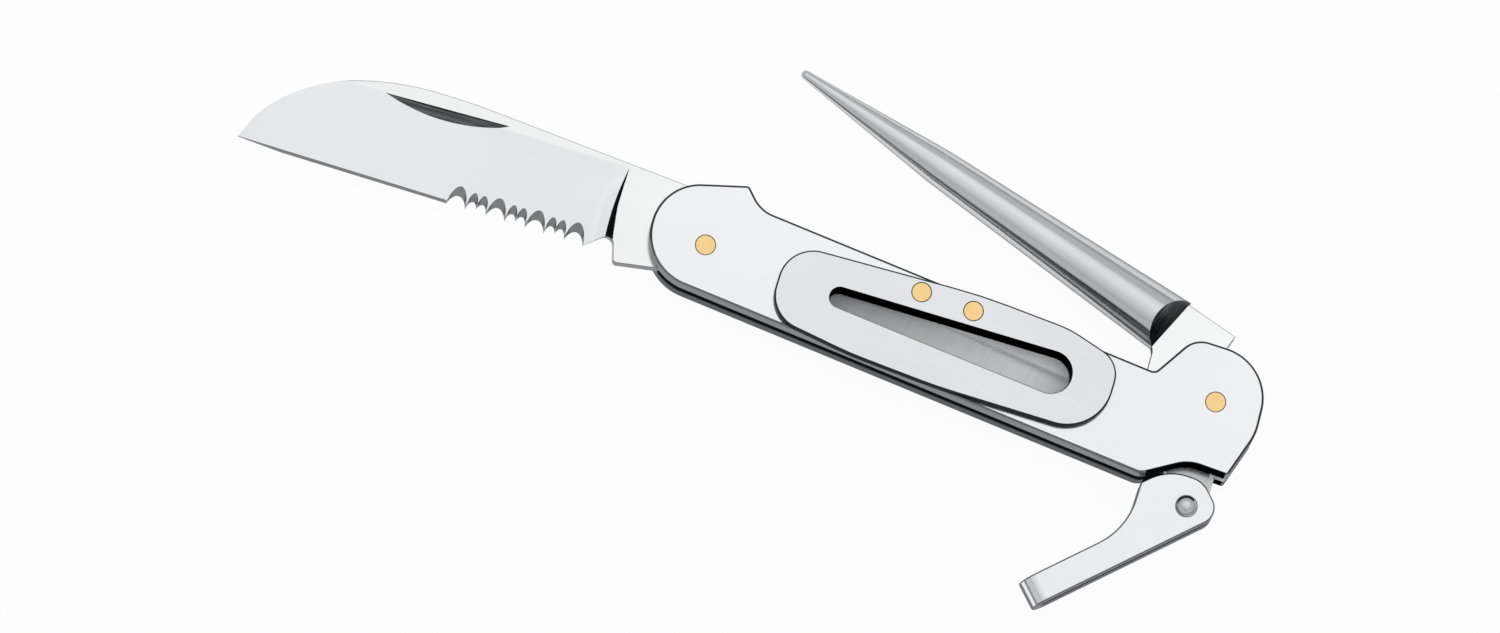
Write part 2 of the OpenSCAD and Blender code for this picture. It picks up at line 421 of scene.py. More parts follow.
def plate(
    outer: Rim,
    holes: Sequence[Rim],
    low: float,
    high: float,
    open_edge: int = -1,
    caps: tuple[Side, Side] = (Side.FLAT, Side.FLAT),
) -> Shape:
    """A flat plate with rounded edges.

    Args:
        outer: Its outer rim.
        holes: Rims of its holes.
        low: Height of the lower face.
        high: Height of the upper face.
        open_edge: Index of an outer edge that is left square and open, to join another shape.
        caps: Finish slots of the lower and the upper face.

    Returns:
        The plate.
    """
    shape = Shape()
    lower, upper = [], []
    for rim in (outer, *holes):
        fixed = open_edge if rim is outer else -1
        rows = []
        for inset, z, angle in rim.profile(low, high):
            flat, level = rim.outline.trace(inset, fixed)
            count = len(flat)
            spots = np.column_stack((flat, np.full(count, z)))
            tilts = np.column_stack((level * math.cos(angle), np.full(count, math.sin(angle))))
            rows.append(shape.ring(spots, tilts))
        for k, (below, above) in enumerate(zip(rows, rows[1:])):
            first = len(shape.faces)
            shape.band(below, above, rim.side)
            # Upper rounding that faces the back takes the dark back-shade finish: painted shade
            if rim.back_shaded and k > rim.steps:
                for i in range(first, len(shape.faces)):
                    if shape.normals[shape.faces[i][0]][1] > BACK_SHADE_FACING:
                        shape.sides[i] = Side.BACK_SHADE
        lower.append(rows[0])
        upper.append(rows[-1])
    shape.cap(lower, False, caps[0])
    shape.cap(upper, True, caps[1])
    if open_edge >= 0:
        drop_edge(shape, outer.outline, open_edge)
    return shape


def drop_edge(shape: Shape, outline: Outline, edge: int) -> None:
    """Takes away the wall that stands on one straight edge of a plate's outline.

    Args:
        shape: The plate.
        outline: Its outer outline.
        edge: The edge's index.
    """
    a = outline.corners[edge]
    b = outline.corners[(edge + 1) % len(outline.corners)]
    along = np.array((b.x - a.x, b.y - a.y))
    normal = np.array((along[1], -along[0])) / np.linalg.norm(along)
    kept = [
        (f, s)
        for f, s in zip(shape.faces, shape.sides)
        if any(
            abs((shape.points[i][0] - a.x) * normal[0] + (shape.points[i][1] - a.y) * normal[1]) > ON_EDGE
            for i in f
        )
    ]
    shape.faces = [f for f, _ in kept]
    shape.sides = [s for _, s in kept]


def revolved(profile: Sequence[tuple[float, float]], segments: int = FACETS) -> Shape:
    """A surface turned about +Z.

    Args:
        profile: Radius and height of each row, from the bottom up, with the outside on the right.
        segments: Facets round the axis.

    Returns:
        The surface, with smooth normals except where the profile bends sharply.
    """
    shape = Shape()
    angles = np.arange(segments) * 2 * math.pi / segments
    slopes = [math.atan2(r0 - r1, z1 - z0) for (r0, z0), (r1, z1) in zip(profile, profile[1:])]
    for k, ends in enumerate(zip(profile, profile[1:])):
        rows = []
        for other, (r, z) in zip((k - 1, k + 1), ends):
            tilt = slopes[k]
            if 0 <= other < len(slopes) and abs(slopes[other] - slopes[k]) < SHARP_BEND:
                tilt = (slopes[other] + slopes[k]) / 2
            level = math.cos(tilt)
            spots = np.column_stack((r * np.cos(angles), r * np.sin(angles), np.full(segments, z)))
            tilts = np.column_stack(
                (level * np.cos(angles), level * np.sin(angles), np.full(segments, math.sin(tilt)))
            )
            rows.append(shape.ring(spots, tilts))
        shape.band(rows[0], rows[1], Side.FLAT)
    return shape


def prism(section: Sequence[tuple[float, float]], low: float, high: float) -> Shape:
    """A straight prism along +X.

    Args:
        section: Corners as y, z, anticlockwise seen from +X.
        low: Its lower end.
        high: Its upper end.

    Returns:
        The prism.
    """
    shape = Shape()
    near, far = (shape.row([(x, y, z) for y, z in section]) for x in (low, high))
    shape.band(near, far, Side.FLAT)
    shape.face(near[::-1], Side.FLAT)
    shape.face(far, Side.FLAT)
    return shape


def turned_at(place: Sequence[float], degrees: float) -> Matrix:
    """A turn about +Z and then a move to a place."""
    return Matrix.Translation(place) @ Matrix.Rotation(math.radians(degrees), 4, "Z")


def bake(made: Object) -> Object:
    """Turns an object's modifiers into its mesh.

    Args:
        made: The object.

    Returns:
        The same object, with a plain mesh.
    """
    bpy.context.view_layer.update()
    result = bpy.data.meshes.new_from_object(made.evaluated_get(bpy.context.evaluated_depsgraph_get()))
    made.modifiers.clear()
    made.data = result
    return made


def carve(target: Object, cutters: Sequence[Object]) -> Object:
    """Cuts solids out of another, which takes the cutters' finishes where they cut.

    Args:
        target: The solid that is cut.
        cutters: The solids taken away. They are removed afterwards.

    Returns:
        The target.
    """
    for cutter in cutters:
        cut = target.modifiers.new("cut", "BOOLEAN")
        cut.operation = "DIFFERENCE"
        cut.solver = "EXACT"
        cut.material_mode = "TRANSFER"
        cut.object = cutter
    bake(target)
    for cutter in cutters:
        bpy.data.objects.remove(cutter)
    return target


def crisp(made: Object, angle: float) -> Object:
    """Shades a cut solid smooth between its edges.

    Args:
        made: The object.
        angle: The angle past which an edge is sharp, in degrees.

    Returns:
        The same object.
    """
    for polygon in made.data.polygons:
        polygon.use_smooth = True
    made.data.set_sharp_from_angle(angle=math.radians(angle))
    return made


# ---- Finishes -------------------------------------------------------------------------------


def linear(code: str) -> tuple[float, float, float, float]:
    """A colour written as sRGB hex, in linear light.

    Args:
        code: Six hex digits.

    Returns:
        Red, green, blue and alpha.
    """
    values = [int(code[i : i + 2], 16) / 255 for i in (0, 2, 4)]
    light = [v / 12.92 if v <= 0.04045 else ((v + 0.055) / 1.055) ** 2.4 for v in values]
    return (light[0], light[1], light[2], 1.0)


def add_node(
    tree: Tree, kind: str, inputs: Mapping[str | int, object] | None = None, **settings: object
) -> bpy.types.Node:
    """Adds a node and fills its sockets with values or links.

    Args:
        tree: The node tree.
        kind: The node's type.
        inputs: Socket name or number to a value, or to the socket that feeds it.
        **settings: The node's own properties.

    Returns:
        The node.
    """
    node = tree.nodes.new(kind)
    for name, value in settings.items():
        setattr(node, name, value)
    for key, value in (inputs or {}).items():
        if isinstance(value, Socket):
            tree.links.new(value, node.inputs[key])
        else:
            node.inputs[key].default_value = value
    return node


def blank_tree(owner: Material | bpy.types.World) -> Tree:
    """Empties the node tree of a material or a world.

    Args:
        owner: The material or world.

    Returns:
        The tree.
    """
    owner.use_nodes = True
    owner.node_tree.nodes.clear()
    return owner.node_tree


def own_place(tree: Tree) -> Socket:
    """The place of each point in its object's own axes."""
    return add_node(tree, "ShaderNodeTexCoord").outputs["Object"]


def mapped(tree: Tree, place: Socket, **moves: object) -> Socket:
    """A place that is moved, turned or scaled by the named inputs."""
    return add_node(tree, "ShaderNodeMapping", {"Vector": place, **moves}).outputs["Vector"]


def noise(
    tree: Tree, place: Socket, scale: float, **inputs: float
) -> Socket:
    """Noise at a place, with the named inputs."""
    return add_node(tree, "ShaderNodeTexNoise", {"Vector": place, "Scale": scale, **inputs}).outputs["Fac"]


def maths(tree: Tree, operation: str, *values: object) -> Socket:
    """The result of an operation on numbers or sockets."""
    return add_node(tree, "ShaderNodeMath", dict(enumerate(values)), operation=operation).outputs[0]


def ranged(
    tree: Tree,
    value: object,
    source: Sequence[float],
    result: Sequence[object],
    ease: bool = False,
) -> Socket:
    """Maps a value from one range to another and holds it there.

    Args:
        tree: The node tree.
        value: The socket that gives the value.
        source: The range it comes in.
        result: The range it goes to, as numbers or sockets.
        ease: Whether it eases in and out.

    Returns:
        The mapped value.
    """
    inputs = {"Value": value, **dict(enumerate((*source, *result), 1))}
    kind = "SMOOTHSTEP" if ease else "LINEAR"
    return add_node(tree, "ShaderNodeMapRange", inputs, interpolation_type=kind).outputs["Result"]


@dataclass(frozen=True)
class Metal:
    """A worked metal surface: its colour, how it was ground, and the shade painted into it.

    Grain runs along `grain_turn` (degrees from +X); its lines are `grain_wide` apart and
    `grain_long` long, in millimetres. `glance` is how much of a low, glancing reflection is kept; below
    one it is a painted shade on the grazing reflection. `metal` is the share of bare metal where a
    blasted or oxidised skin scatters the rest. `belly_shade` is how far above the belly the surface is
    painted near black, as shade in the gap between the scales, in millimetres.
    """

    name: str
    colour: str
    roughness: float
    grain_wide: float = 0.12
    grain_long: float = 6.0
    grain_turn: float = 0.0
    grain_depth: float = 0.02
    shade: float = 0.06
    cloud: float = 14.0
    cloud_shade: float = 0.04
    glance: float = 1.0
    metal: float = 1.0
    belly_shade: float = 0.0

    def material(self) -> Material:
        """Builds the material.

        Returns:
            The material, or the one already made under this name.
        """
        if self.name in bpy.data.materials:
            return bpy.data.materials[self.name]
        made = bpy.data.materials.new(self.name)
        tree = blank_tree(made)
        place = own_place(tree)
        wide, long = self.grain_wide * MM, self.grain_long * MM
        turned = mapped(tree, place, Rotation=(0.0, 0.0, -math.radians(self.grain_turn)))
        stretched = mapped(tree, turned, Scale=(1 / long, 1 / wide, 1 / wide))
        lines = noise(tree, stretched, 1.0, Detail=3.0, Roughness=0.6)
        clouds = noise(tree, place, 1 / (self.cloud * MM), Detail=2.0)
        rough = ranged(tree, lines, (0.25, 0.75), (self.roughness * 0.8, self.roughness * 1.2))
        bump = add_node(
            tree, "ShaderNodeBump", {"Height": lines, "Strength": 0.35, "Distance": self.grain_depth * MM}
        ).outputs["Normal"]
        shader = add_node(
            tree,
            "ShaderNodeBsdfPrincipled",
            {
                "Base Color": self.shaded(tree, lines, clouds),
                "Metallic": self.metal,
                "Roughness": rough,
                "Normal": bump,
                "Specular Tint": (self.glance, self.glance, self.glance, 1.0),
            },
        )
        add_node(tree, "ShaderNodeOutputMaterial", {"Surface": shader.outputs["BSDF"]})
        return made

    def shaded(
        self, tree: Tree, lines: Socket, clouds: Socket
    ) -> Socket:
        """Varies the colour with the grain and with broad, faint clouds, and paints it near black towards the
        belly as shade where asked.

        Args:
            tree: The material's tree.
            lines: The grain.
            clouds: The clouds.

        Returns:
            The colour.
        """
        result: object = linear(self.colour)
        # Painted shade: the colour turns near black below the belly_shade line, for the gap between the
        # scales
        if self.belly_shade:
            level = mapped(tree, own_place(tree), Rotation=(0.0, 0.0, math.radians(BELLY_SLOPE)))
            height = add_node(tree, "ShaderNodeSeparateXYZ", {"Vector": level}).outputs["Y"]
            top = BELLY_LEVEL + self.belly_shade
            dark = ranged(tree, height, ((top - 0.5) * MM, (top + 0.5) * MM), (1.0, 0.0))
            result = add_node(
                tree, "ShaderNodeMix", {0: dark, 6: result, 7: linear(GAP_SHADE_COLOUR)}, data_type="RGBA"
            ).outputs[2]
        for pattern, depth in ((lines, self.shade), (clouds, self.cloud_shade)):
            level = ranged(tree, pattern, (0.3, 0.7), (1.0 - depth, 1.0))
            result = add_node(
                tree, "ShaderNodeMix", {0: 1.0, 6: result, 7: level}, data_type="RGBA", blend_type="MULTIPLY"
            ).outputs[2]
        return result


class Finish(Enum):
    """Every finish on the knife."""

    # Fine satin faces of the scales: near white, with soft broad reflections
    SCALE_FACE = Metal("Satin stainless steel", "F1F2F3", 0.15, 0.10, 9.0, -5.4, 0.004, 0.03, 30.0, 0.03)
    # Ground edges of the scales: fine lines along the edge, in a mid grey that is painted shade for the walls
    SCALE_EDGE = Metal("Ground steel edge", "8A8D90", 0.24, 0.08, 14.0, -5.4, 0.01, 0.14, glance=0.6)
    # Upper rounding of the front scale where it faces the back: a dark, thin line of painted shade
    SCALE_BACK_SHADE = Metal("Burnished edge break", "4E5052", 0.26, 0.08, 14.0, -5.4, 0.01, 0.14, glance=0.3)
    # Edge of the rear scale, painted darker than the front one as the shade under the front scale
    REAR_EDGE = Metal("Ground steel edge, dull", "5E6063", 0.30, 0.08, 14.0, -5.4, 0.01, 0.14, glance=0.5)
    # Inner face of the rear scale, seen through the slot: bead blasted, so it scatters light, with
    # marks across it; painted near black towards the belly as shade in the gap between the scales
    SCALE_INNER = Metal(
        "Bead-blasted inner face", "FAFBFC", 0.4, 0.6, 9.0, 78.0, 0.006, 0.08, 9.0, 0.05, 1.0, 0.05, 3.2
    )
    # Faces that close the narrow space between the scales: near black, painted shade for the gap
    SCALE_SHUT = Metal("Oil-darkened steel", "1E1F20", 0.45, 0.2, 5.0, -5.4, 0.01, 0.2, glance=0.2)
    # Lengthwise brushing on the raised plate, a shade cooler than the scales
    PLATE_FACE = Metal("Lengthwise brushed steel", "E6E8EB", 0.18, 0.09, 18.0, -4.0, 0.010, 0.05, 22.0, 0.04)
    # Ground wall of the raised plate, painted dark as shade along the plate's edge
    PLATE_EDGE = Metal("Ground plate edge", "3C3E41", 0.26, 0.10, 5.0, -4.0, 0.01, 0.15, glance=0.3)
    # Walls of the slot and of the bail's hollow: milled, and painted near black as shade in the recess
    SLOT_WALL = Metal("Milled wall, dark", "0C0D0E", 0.40, 0.12, 4.0, -4.0, 0.01, 0.25, glance=0.0)
    # Flat of the blade and its ricasso
    BLADE_FLAT = Metal("Blade steel, satin flat", "F5F6F6", 0.15, 0.06, 5.0, 88.0, 0.003, 0.03)
    # Flat grind of the blade, ground across its length
    BLADE_GRIND = Metal("Blade steel, flat ground", "EFF0F1", 0.15, 0.06, 12.0, 88.0, 0.004, 0.03, 26.0, 0.04)
    # Honed edge and the blade's outline, in a mid grey that paints the dark reflection of the edge chamfers
    BLADE_EDGE = Metal("Blade steel, honed", "96999C", 0.22, 0.05, 2.0, 0.0, 0.008, 0.12, glance=0.6)
    # Wall where the grind ends: it faces along the blade and mirrors the dark
    PLUNGE = Metal("Blade steel, plunge wall", "161718", 0.30, 0.06, 2.0, 90.0, 0.008, 0.12, glance=0.1)
    # Hollows of the serrations, streaked by the wheel, in a darker grey that is painted shade in the hollows
    SERRATION = Metal("Blade steel, wheel ground", "AEB1B4", 0.28, 0.07, 2.5, 90.0, 0.01, 0.3, 3.0, 0.2, 0.6)
    # Floor of the nail nick, with coarse wheel lines along it
    NICK = Metal("Blade steel, nick ground", "74777A", 0.22, 0.40, 18.0, 2.0, 0.05, 0.85, 6.0, 0.2, 0.6)
    # Turned and polished round of the marlin spike: its glancing reflection is cut down, a painted shade that
    # darkens its sides
    SPIKE = Metal("Polished steel round", "DCDEE0", 0.17, 0.16, 40.0, 162.1, 0.002, 0.07, 12.0, 0.05, 0.35)
    # Flat tang of the spike
    SPIKE_FLAT = Metal("Satin steel tang", "F8F9F9", 0.15, 0.08, 6.0, 100.0, 0.003, 0.03)
    # Edge of that tang, painted dark as shade
    TANG_EDGE = Metal("Worn tang edge", "3A3C3E", 0.26, 0.08, 6.0, 100.0, 0.01, 0.12, glance=0.3)
    # Cut shoulder of the spike: lines from the cutter, and a dark grey that is painted shade
    SPIKE_SHOULDER = Metal("Milled steel shoulder", "6E7174", 0.22, 0.4, 9.0, 70.0, 0.03, 0.9, glance=0.4)
    # Polished strap of the bail
    BAIL_FACE = Metal("Polished strap steel", "F1F2F3", 0.14, 0.09, 8.0, 46.0, 0.003, 0.03, glance=0.45)
    # Edge of the strap, left from the shears, in a mid grey that is painted shade
    BAIL_EDGE = Metal("Sheared strap edge", "86898B", 0.24, 0.07, 8.0, 46.0, 0.01, 0.12, glance=0.5)
    # Domed rivet of the bail
    RIVET_STEEL = Metal("Polished rivet steel", "D6D8DA", 0.16, 0.2, 1.0, 0.0, 0.003, 0.05, glance=0.5)
    # Flats of the springs, which show through the slot: blasted like the face under them
    SPRING = Metal(
        "Spring steel, blasted flat", "F8FAFB", 0.4, 0.5, 9.0, 78.0, 0.006, 0.08, 9.0, 0.05, metal=0.05
    )
    # Edges of the springs
    SPRING_EDGE = Metal("Spring steel edge", "EAECEE", 0.4, 0.08, 8.0, -5.4, 0.01, 0.10, metal=0.1)
    # The lug's face, which shows beside the bail's eye
    LUG = Metal("Ground lug steel", "C8CACC", 0.24, 0.10, 5.0, 60.0, 0.008, 0.08)
    # Rivets ground flush with the plates
    BRASS = Metal("Brass, ground flush", "FCD898", 0.28, 0.08, 3.0, 0.0, 0.006, 0.04, 2.0, 0.04)

    def material(self) -> Material:
        """The finish as a material."""
        return self.value.material()


def materials(*finishes: Finish) -> list[Material]:
    """The materials of a piece, in the order of its finish slots."""
    return [finish.material() for finish in finishes]


# ---- Where things are -----------------------------------------------------------------------


@dataclass(frozen=True)
class Layout:
    """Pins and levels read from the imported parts, in millimetres."""

    blade_pin: tuple[float, float]
    spike_pin: tuple[float, float]
    bail_pin: tuple[float, float]
    left_rivet: tuple[float, float]
    right_rivet: tuple[float, float]
    rear_top: float
    front_low: float
    front_top: float
    key_top: float
    mid: float
    pivot_r: float
    rivet_r: float
    tang_t: float
    tip_x: float

    @classmethod
    def read(cls) -> "Layout":
        """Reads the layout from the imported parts' boxes.

        Returns:
            The layout.
        """

        def centre(node: str) -> tuple[float, float]:
            """Middle of a node's box in X and Y."""
            low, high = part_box(node)
            return ((low.x + high.x) / 2 / MM, (low.y + high.y) / 2 / MM)

        def span(node: str, axis: int) -> tuple[float, float]:
            """Ends of a node's box along an axis."""
            low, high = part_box(node)
            return (low[axis] / MM, high[axis] / MM)

        nodes = ("front_scale", "rear_scale", "key_plate", "blade")
        front, rear, key, blade = (span(node, 2) for node in nodes)
        pivot, rivet = span("blade_pivot", 0), span("spring_rivet", 0)
        return cls(
            centre("blade_pivot"),
            centre("spike_pivot"),
            centre("bail_rivet"),
            centre("spring_rivet"),
            centre("lock_rivet"),
            rear[1],
            front[0],
            front[1],
            key[1],
            (blade[0] + blade[1]) / 2,
            (pivot[1] - pivot[0]) / 2,
            (rivet[1] - rivet[0]) / 2,
            blade[1] - blade[0],
            span("blade", 0)[0],
        )


@dataclass
class Piece:
    """A finished mesh and what it stands for."""

    made: Object
    body: Body
    nodes: tuple[str, ...]
    slot: str

    def settle(self) -> None:
        """Hands the piece to the frame and reports it."""
        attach(self.made, self.body.value)
        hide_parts(*self.nodes)
        faces = len(self.made.data.polygons)
        log.info("%s rides on %s with %d faces", self.made.name, self.body.value, faces)


# ---- Rows of round things -------------------------------------------------------------------


@dataclass(frozen=True)
class RowOfPins:
    """A row of equal round pins with chamfered ends, made by a Geometry Nodes tree."""

    count: int
    start: Vector
    step: Vector
    radius: float
    length: float
    chamfer: float = 0.12
    tilt: float = 0.0

    TREE = "Row of pins"

    @classmethod
    def tree(cls) -> Tree:
        """The node tree, built once.

        Returns:
            The tree.
        """
        if cls.TREE in bpy.data.node_groups:
            return bpy.data.node_groups[cls.TREE]
        tree = bpy.data.node_groups.new(cls.TREE, "GeometryNodeTree")
        face = tree.interface
        face.new_socket("Geometry", in_out="OUTPUT", socket_type="NodeSocketGeometry")
        for name, kind in (
            ("Count", "Int"),
            ("Start", "Vector"),
            ("Step", "Vector"),
            ("Radius", "Float"),
            ("Length", "Float"),
            ("Chamfer", "Float"),
            ("Tilt", "Float"),
            ("Finish", "Material"),
        ):
            face.new_socket(name, in_out="INPUT", socket_type=f"NodeSocket{kind}")
        given = add_node(tree, "NodeGroupInput").outputs
        line = add_node(
            tree,
            "GeometryNodeMeshLine",
            {"Count": given["Count"], "Start Location": given["Start"], "Offset": given["Step"]},
        )
        radius, chamfer = given["Radius"], given["Chamfer"]
        ends = maths(tree, "MULTIPLY_ADD", chamfer, -2.0, given["Length"])
        pin = add_node(
            tree, "GeometryNodeMeshCylinder", {"Vertices": FACETS, "Radius": radius, "Depth": ends}
        )
        ratio = maths(tree, "DIVIDE", maths(tree, "SUBTRACT", radius, chamfer), radius)
        mesh = pin.outputs["Mesh"]
        for end in ("Top", "Bottom"):
            raised = add_node(
                tree,
                "GeometryNodeExtrudeMesh",
                {"Mesh": mesh, "Selection": pin.outputs[end], "Offset Scale": chamfer, "Individual": False},
            )
            grown, top = raised.outputs["Mesh"], raised.outputs["Top"]
            mesh = add_node(
                tree, "GeometryNodeScaleElements", {"Geometry": grown, "Selection": top, "Scale": ratio}
            ).outputs["Geometry"]
        angles = add_node(tree, "ShaderNodeCombineXYZ", {"X": given["Tilt"]})
        turn = add_node(tree, "FunctionNodeEulerToRotation", {"Euler": angles.outputs[0]})
        placed = add_node(
            tree,
            "GeometryNodeInstanceOnPoints",
            {"Points": line.outputs["Mesh"], "Instance": mesh, "Rotation": turn.outputs[0]},
        )
        real = add_node(tree, "GeometryNodeRealizeInstances", {"Geometry": placed.outputs["Instances"]})
        solid = real.outputs["Geometry"]
        dressed = add_node(
            tree, "GeometryNodeSetMaterial", {"Geometry": solid, "Material": given["Finish"]}
        )
        add_node(tree, "NodeGroupOutput", {"Geometry": dressed.outputs["Geometry"]})
        return tree

    def build(self, name: str, finish: Finish) -> Object:
        """Runs the tree and keeps its result as a plain mesh.

        Args:
            name: The object's name.
            finish: The pins' finish.

        Returns:
            The object.
        """
        made = put(name, bpy.data.meshes.new(name))
        row = made.modifiers.new("row", "NODES")
        row.node_group = self.tree()
        values = {
            "Count": self.count,
            "Start": self.start * MM,
            "Step": self.step * MM,
            "Radius": self.radius * MM,
            "Length": self.length * MM,
            "Chamfer": self.chamfer * MM,
            "Tilt": math.radians(self.tilt),
            "Finish": finish.material(),
        }
        for item in row.node_group.interface.items_tree:
            if item.in_out == "INPUT":
                row[item.identifier] = values[item.name]
        return bake(made)


# ---- Handle ---------------------------------------------------------------------------------


@dataclass
class Handle:
    """The two scales, the raised key plate and the four brass rivets."""

    layout: Layout
    edge: float = 0.42
    key_edge: float = 0.3
    slot_narrow: float = 3.5
    slot_wide: float = 7.4
    notch_r: float = 7.1
    hollow_wall: float = 1.3

    def scale_outline(self) -> Outline:
        """The outline that both scales share.

        Returns:
            The outline, running anticlockwise.
        """
        a, b, p = self.layout.blade_pin, self.layout.spike_pin, self.layout.bail_pin
        corners = (
            Outline.at(a, (-10.1, -7.1, 9.4), (-10.2, 8.5, 8.8), (4.3, 12.4, 0.9), (7.5, 8.95, 6))
            + Outline.at(b, (-11.6, 1.97, 1.2), (-6.6, 9.9, 4.6), (7.8, 9.7, 9.2), (8.45, -3.4, 10))
            + Outline.at(b, (5.7, -11.95, 0.6))
            + Outline.at(p, (-1.9, self.notch_r + 0.1, self.notch_r))
            + Outline.at(b, (-8.9, -16.1, 3))
        )
        return Outline(corners).turned(True)

    def key_outline(self) -> Outline:
        """The raised plate's egg-shaped outline.

        Returns:
            The outline, running anticlockwise.
        """
        a, b = self.layout.blade_pin, self.layout.spike_pin
        corners = (
            Outline.at(a, (29.5, -11.4, 60), (13.8, -9.0, 6.3), (13.8, 4.45, 6.3))
            + (Corner(2, 5.6, 100),)
            + Outline.at(b, (-28, 4.5, 20), (-17.8, 1.4, 5), (-17.8, -12.5, 8.3))
            + (Corner(-1, -12.5, 90),)
        )
        return Outline(corners).turned(True)

    def slot_outline(self) -> Outline:
        """The tapered shackle slot.

        Returns:
            The outline, running clockwise.
        """
        a, b = self.layout.blade_pin, self.layout.spike_pin
        left = np.array((a[0] + 25.1, a[1] - 2.3))
        right = np.array((b[0] - 29.1, b[1] - 3.95))
        along = right - left
        reach = float(np.linalg.norm(along))
        along = along / reach
        across = np.array((-along[1], along[0]))
        lean = math.asin((self.slot_wide - self.slot_narrow) / 2 / reach)
        corners = []
        for centre, r, end in ((left, self.slot_narrow / 2, -1), (right, self.slot_wide / 2, 1)):
            for side in (end, -end):
                half = r / math.cos(lean) + end * r * math.tan(lean)
                spot = centre + along * end * r + across * side * half
                corners.append(Corner(float(spot[0]), float(spot[1]), r * 0.985))
        return Outline(tuple(corners)).turned(False)

    @staticmethod
    def finishes(flat: "Finish", edge: "Finish", inner: "Finish") -> list[Material]:
        """The materials of a plate, in the order of its finish slots."""
        return materials(flat, edge, inner, Finish.SLOT_WALL, Finish.SCALE_BACK_SHADE)

    def darken_hollow(self, shape: Shape) -> Shape:
        """Gives the wall of the hollow round the bail's eye the slot's near-black finish, painted shade in
        the hollow.

        Args:
            shape: A scale.

        Returns:
            The same scale.
        """
        x, y = self.layout.bail_pin
        for i, face in enumerate(shape.faces):
            middle = np.mean([shape.points[k] for k in face], axis=0)
            near = math.hypot(middle[0] - x, middle[1] - y) < self.notch_r + self.hollow_wall
            if shape.sides[i] == Side.EDGE and near:
                shape.sides[i] = Side.BORE
        return shape

    @staticmethod
    def light_slot_lower_wall(shape: Shape) -> Shape:
        """Gives the slot's lower wall, which faces +Y, the plate's face finish, so it stays light and lights
        the slot, while the other walls keep their painted shade.

        Args:
            shape: A plate with the slot through it.

        Returns:
            The same plate.
        """
        for i, face in enumerate(shape.faces):
            if shape.sides[i] == Side.BORE and shape.normals[face[0]][1] > LIGHT_WALL_FACING:
                shape.sides[i] = Side.FLAT
        return shape

    def rivet_holes(self) -> list[Rim]:
        """Rims of the four rivet holes, a hair wider than the rivets.

        Returns:
            One rim for each rivet.
        """
        spots = self.layout
        return [
            Rim(Outline.circle(at, r + 0.01), 0.03, 0.05, steps=1)
            for at, r in (
                (spots.blade_pin, spots.pivot_r),
                (spots.spike_pin, spots.pivot_r),
                (spots.left_rivet, spots.rivet_r),
                (spots.right_rivet, spots.rivet_r),
            )
        ]

    def rear_scale(self) -> Piece:
        """The rear scale.

        Returns:
            The piece.
        """
        outer = Rim(self.scale_outline(), self.edge, 0.12)
        shape = plate(
            outer, self.rivet_holes(), 0.0, self.layout.rear_top, caps=(Side.FLAT, Side.INNER)
        )
        self.darken_hollow(shape)
        # The rear edge and the inner face towards the belly carry painted shade
        finishes = self.finishes(Finish.SCALE_FACE, Finish.REAR_EDGE, Finish.SCALE_INNER)
        made = shape.build("rear_scale_dressed", finishes)
        return Piece(made, Body.HANDLE, ("rear_scale",), "handle_steel")

    def front_scale(self) -> Piece:
        """The front scale, with the slot through it.

        Returns:
            The piece.
        """
        spots = self.layout
        slot = Rim(self.slot_outline(), 0.1, 0.05, Side.BORE)
        outer = Rim(self.scale_outline(), 0.12, self.edge, back_shaded=True)
        shape = plate(
            outer, [slot, *self.rivet_holes()], spots.front_low, spots.front_top, caps=(Side.INNER, Side.FLAT)
        )
        # The slot's lower wall is kept light, and the hollow's wall takes painted shade
        self.darken_hollow(self.light_slot_lower_wall(shape))
        # The scale's inner face takes the near-black painted shade of the gap
        finishes = self.finishes(Finish.SCALE_FACE, Finish.SCALE_EDGE, Finish.SCALE_SHUT)
        made = shape.build("front_scale_dressed", finishes)
        return Piece(made, Body.HANDLE, ("front_scale",), "handle_steel")

    def key_plate(self) -> Piece:
        """The raised plate.

        Returns:
            The piece.
        """
        spots = self.layout
        holes = [Rim(self.slot_outline(), 0.05, 0.2, Side.BORE), *self.rivet_holes()[2:]]
        shape = plate(Rim(self.key_outline(), 0.04, self.key_edge), holes, spots.front_top, spots.key_top)
        # The slot's lower wall is kept light; its other walls carry painted shade
        self.light_slot_lower_wall(shape)
        finishes = self.finishes(Finish.PLATE_FACE, Finish.PLATE_EDGE, Finish.PLATE_FACE)
        made = shape.build("key_plate_dressed", finishes)
        return Piece(made, Body.HANDLE, ("key_plate",), "plate_steel")

    def rivets(self) -> list[Piece]:
        """The two pivots and the two spring rivets.

        Returns:
            The two rows of rivets.
        """
        spots = self.layout
        made = []
        pivots = (spots.blade_pin, spots.spike_pin, spots.pivot_r, spots.front_top)
        springs = (spots.left_rivet, spots.right_rivet, spots.rivet_r, spots.key_top)
        for name, nodes, (first, last, r, top) in (
            ("pivots", ("blade_pivot", "spike_pivot"), pivots),
            ("spring_rivets", ("spring_rivet", "lock_rivet"), springs),
        ):
            start = Vector((first[0], first[1], top / 2))
            step = Vector((last[0] - first[0], last[1] - first[1], 0.0))
            row = RowOfPins(2, start, step, r, top)
            made.append(Piece(row.build(name, Finish.BRASS), Body.HANDLE, nodes, "brass"))
        return made

    def pieces(self) -> list[Piece]:
        """Everything on the handle."""
        return [self.rear_scale(), self.front_scale(), self.key_plate(), *self.rivets()]


# ---- Springs --------------------------------------------------------------------------------


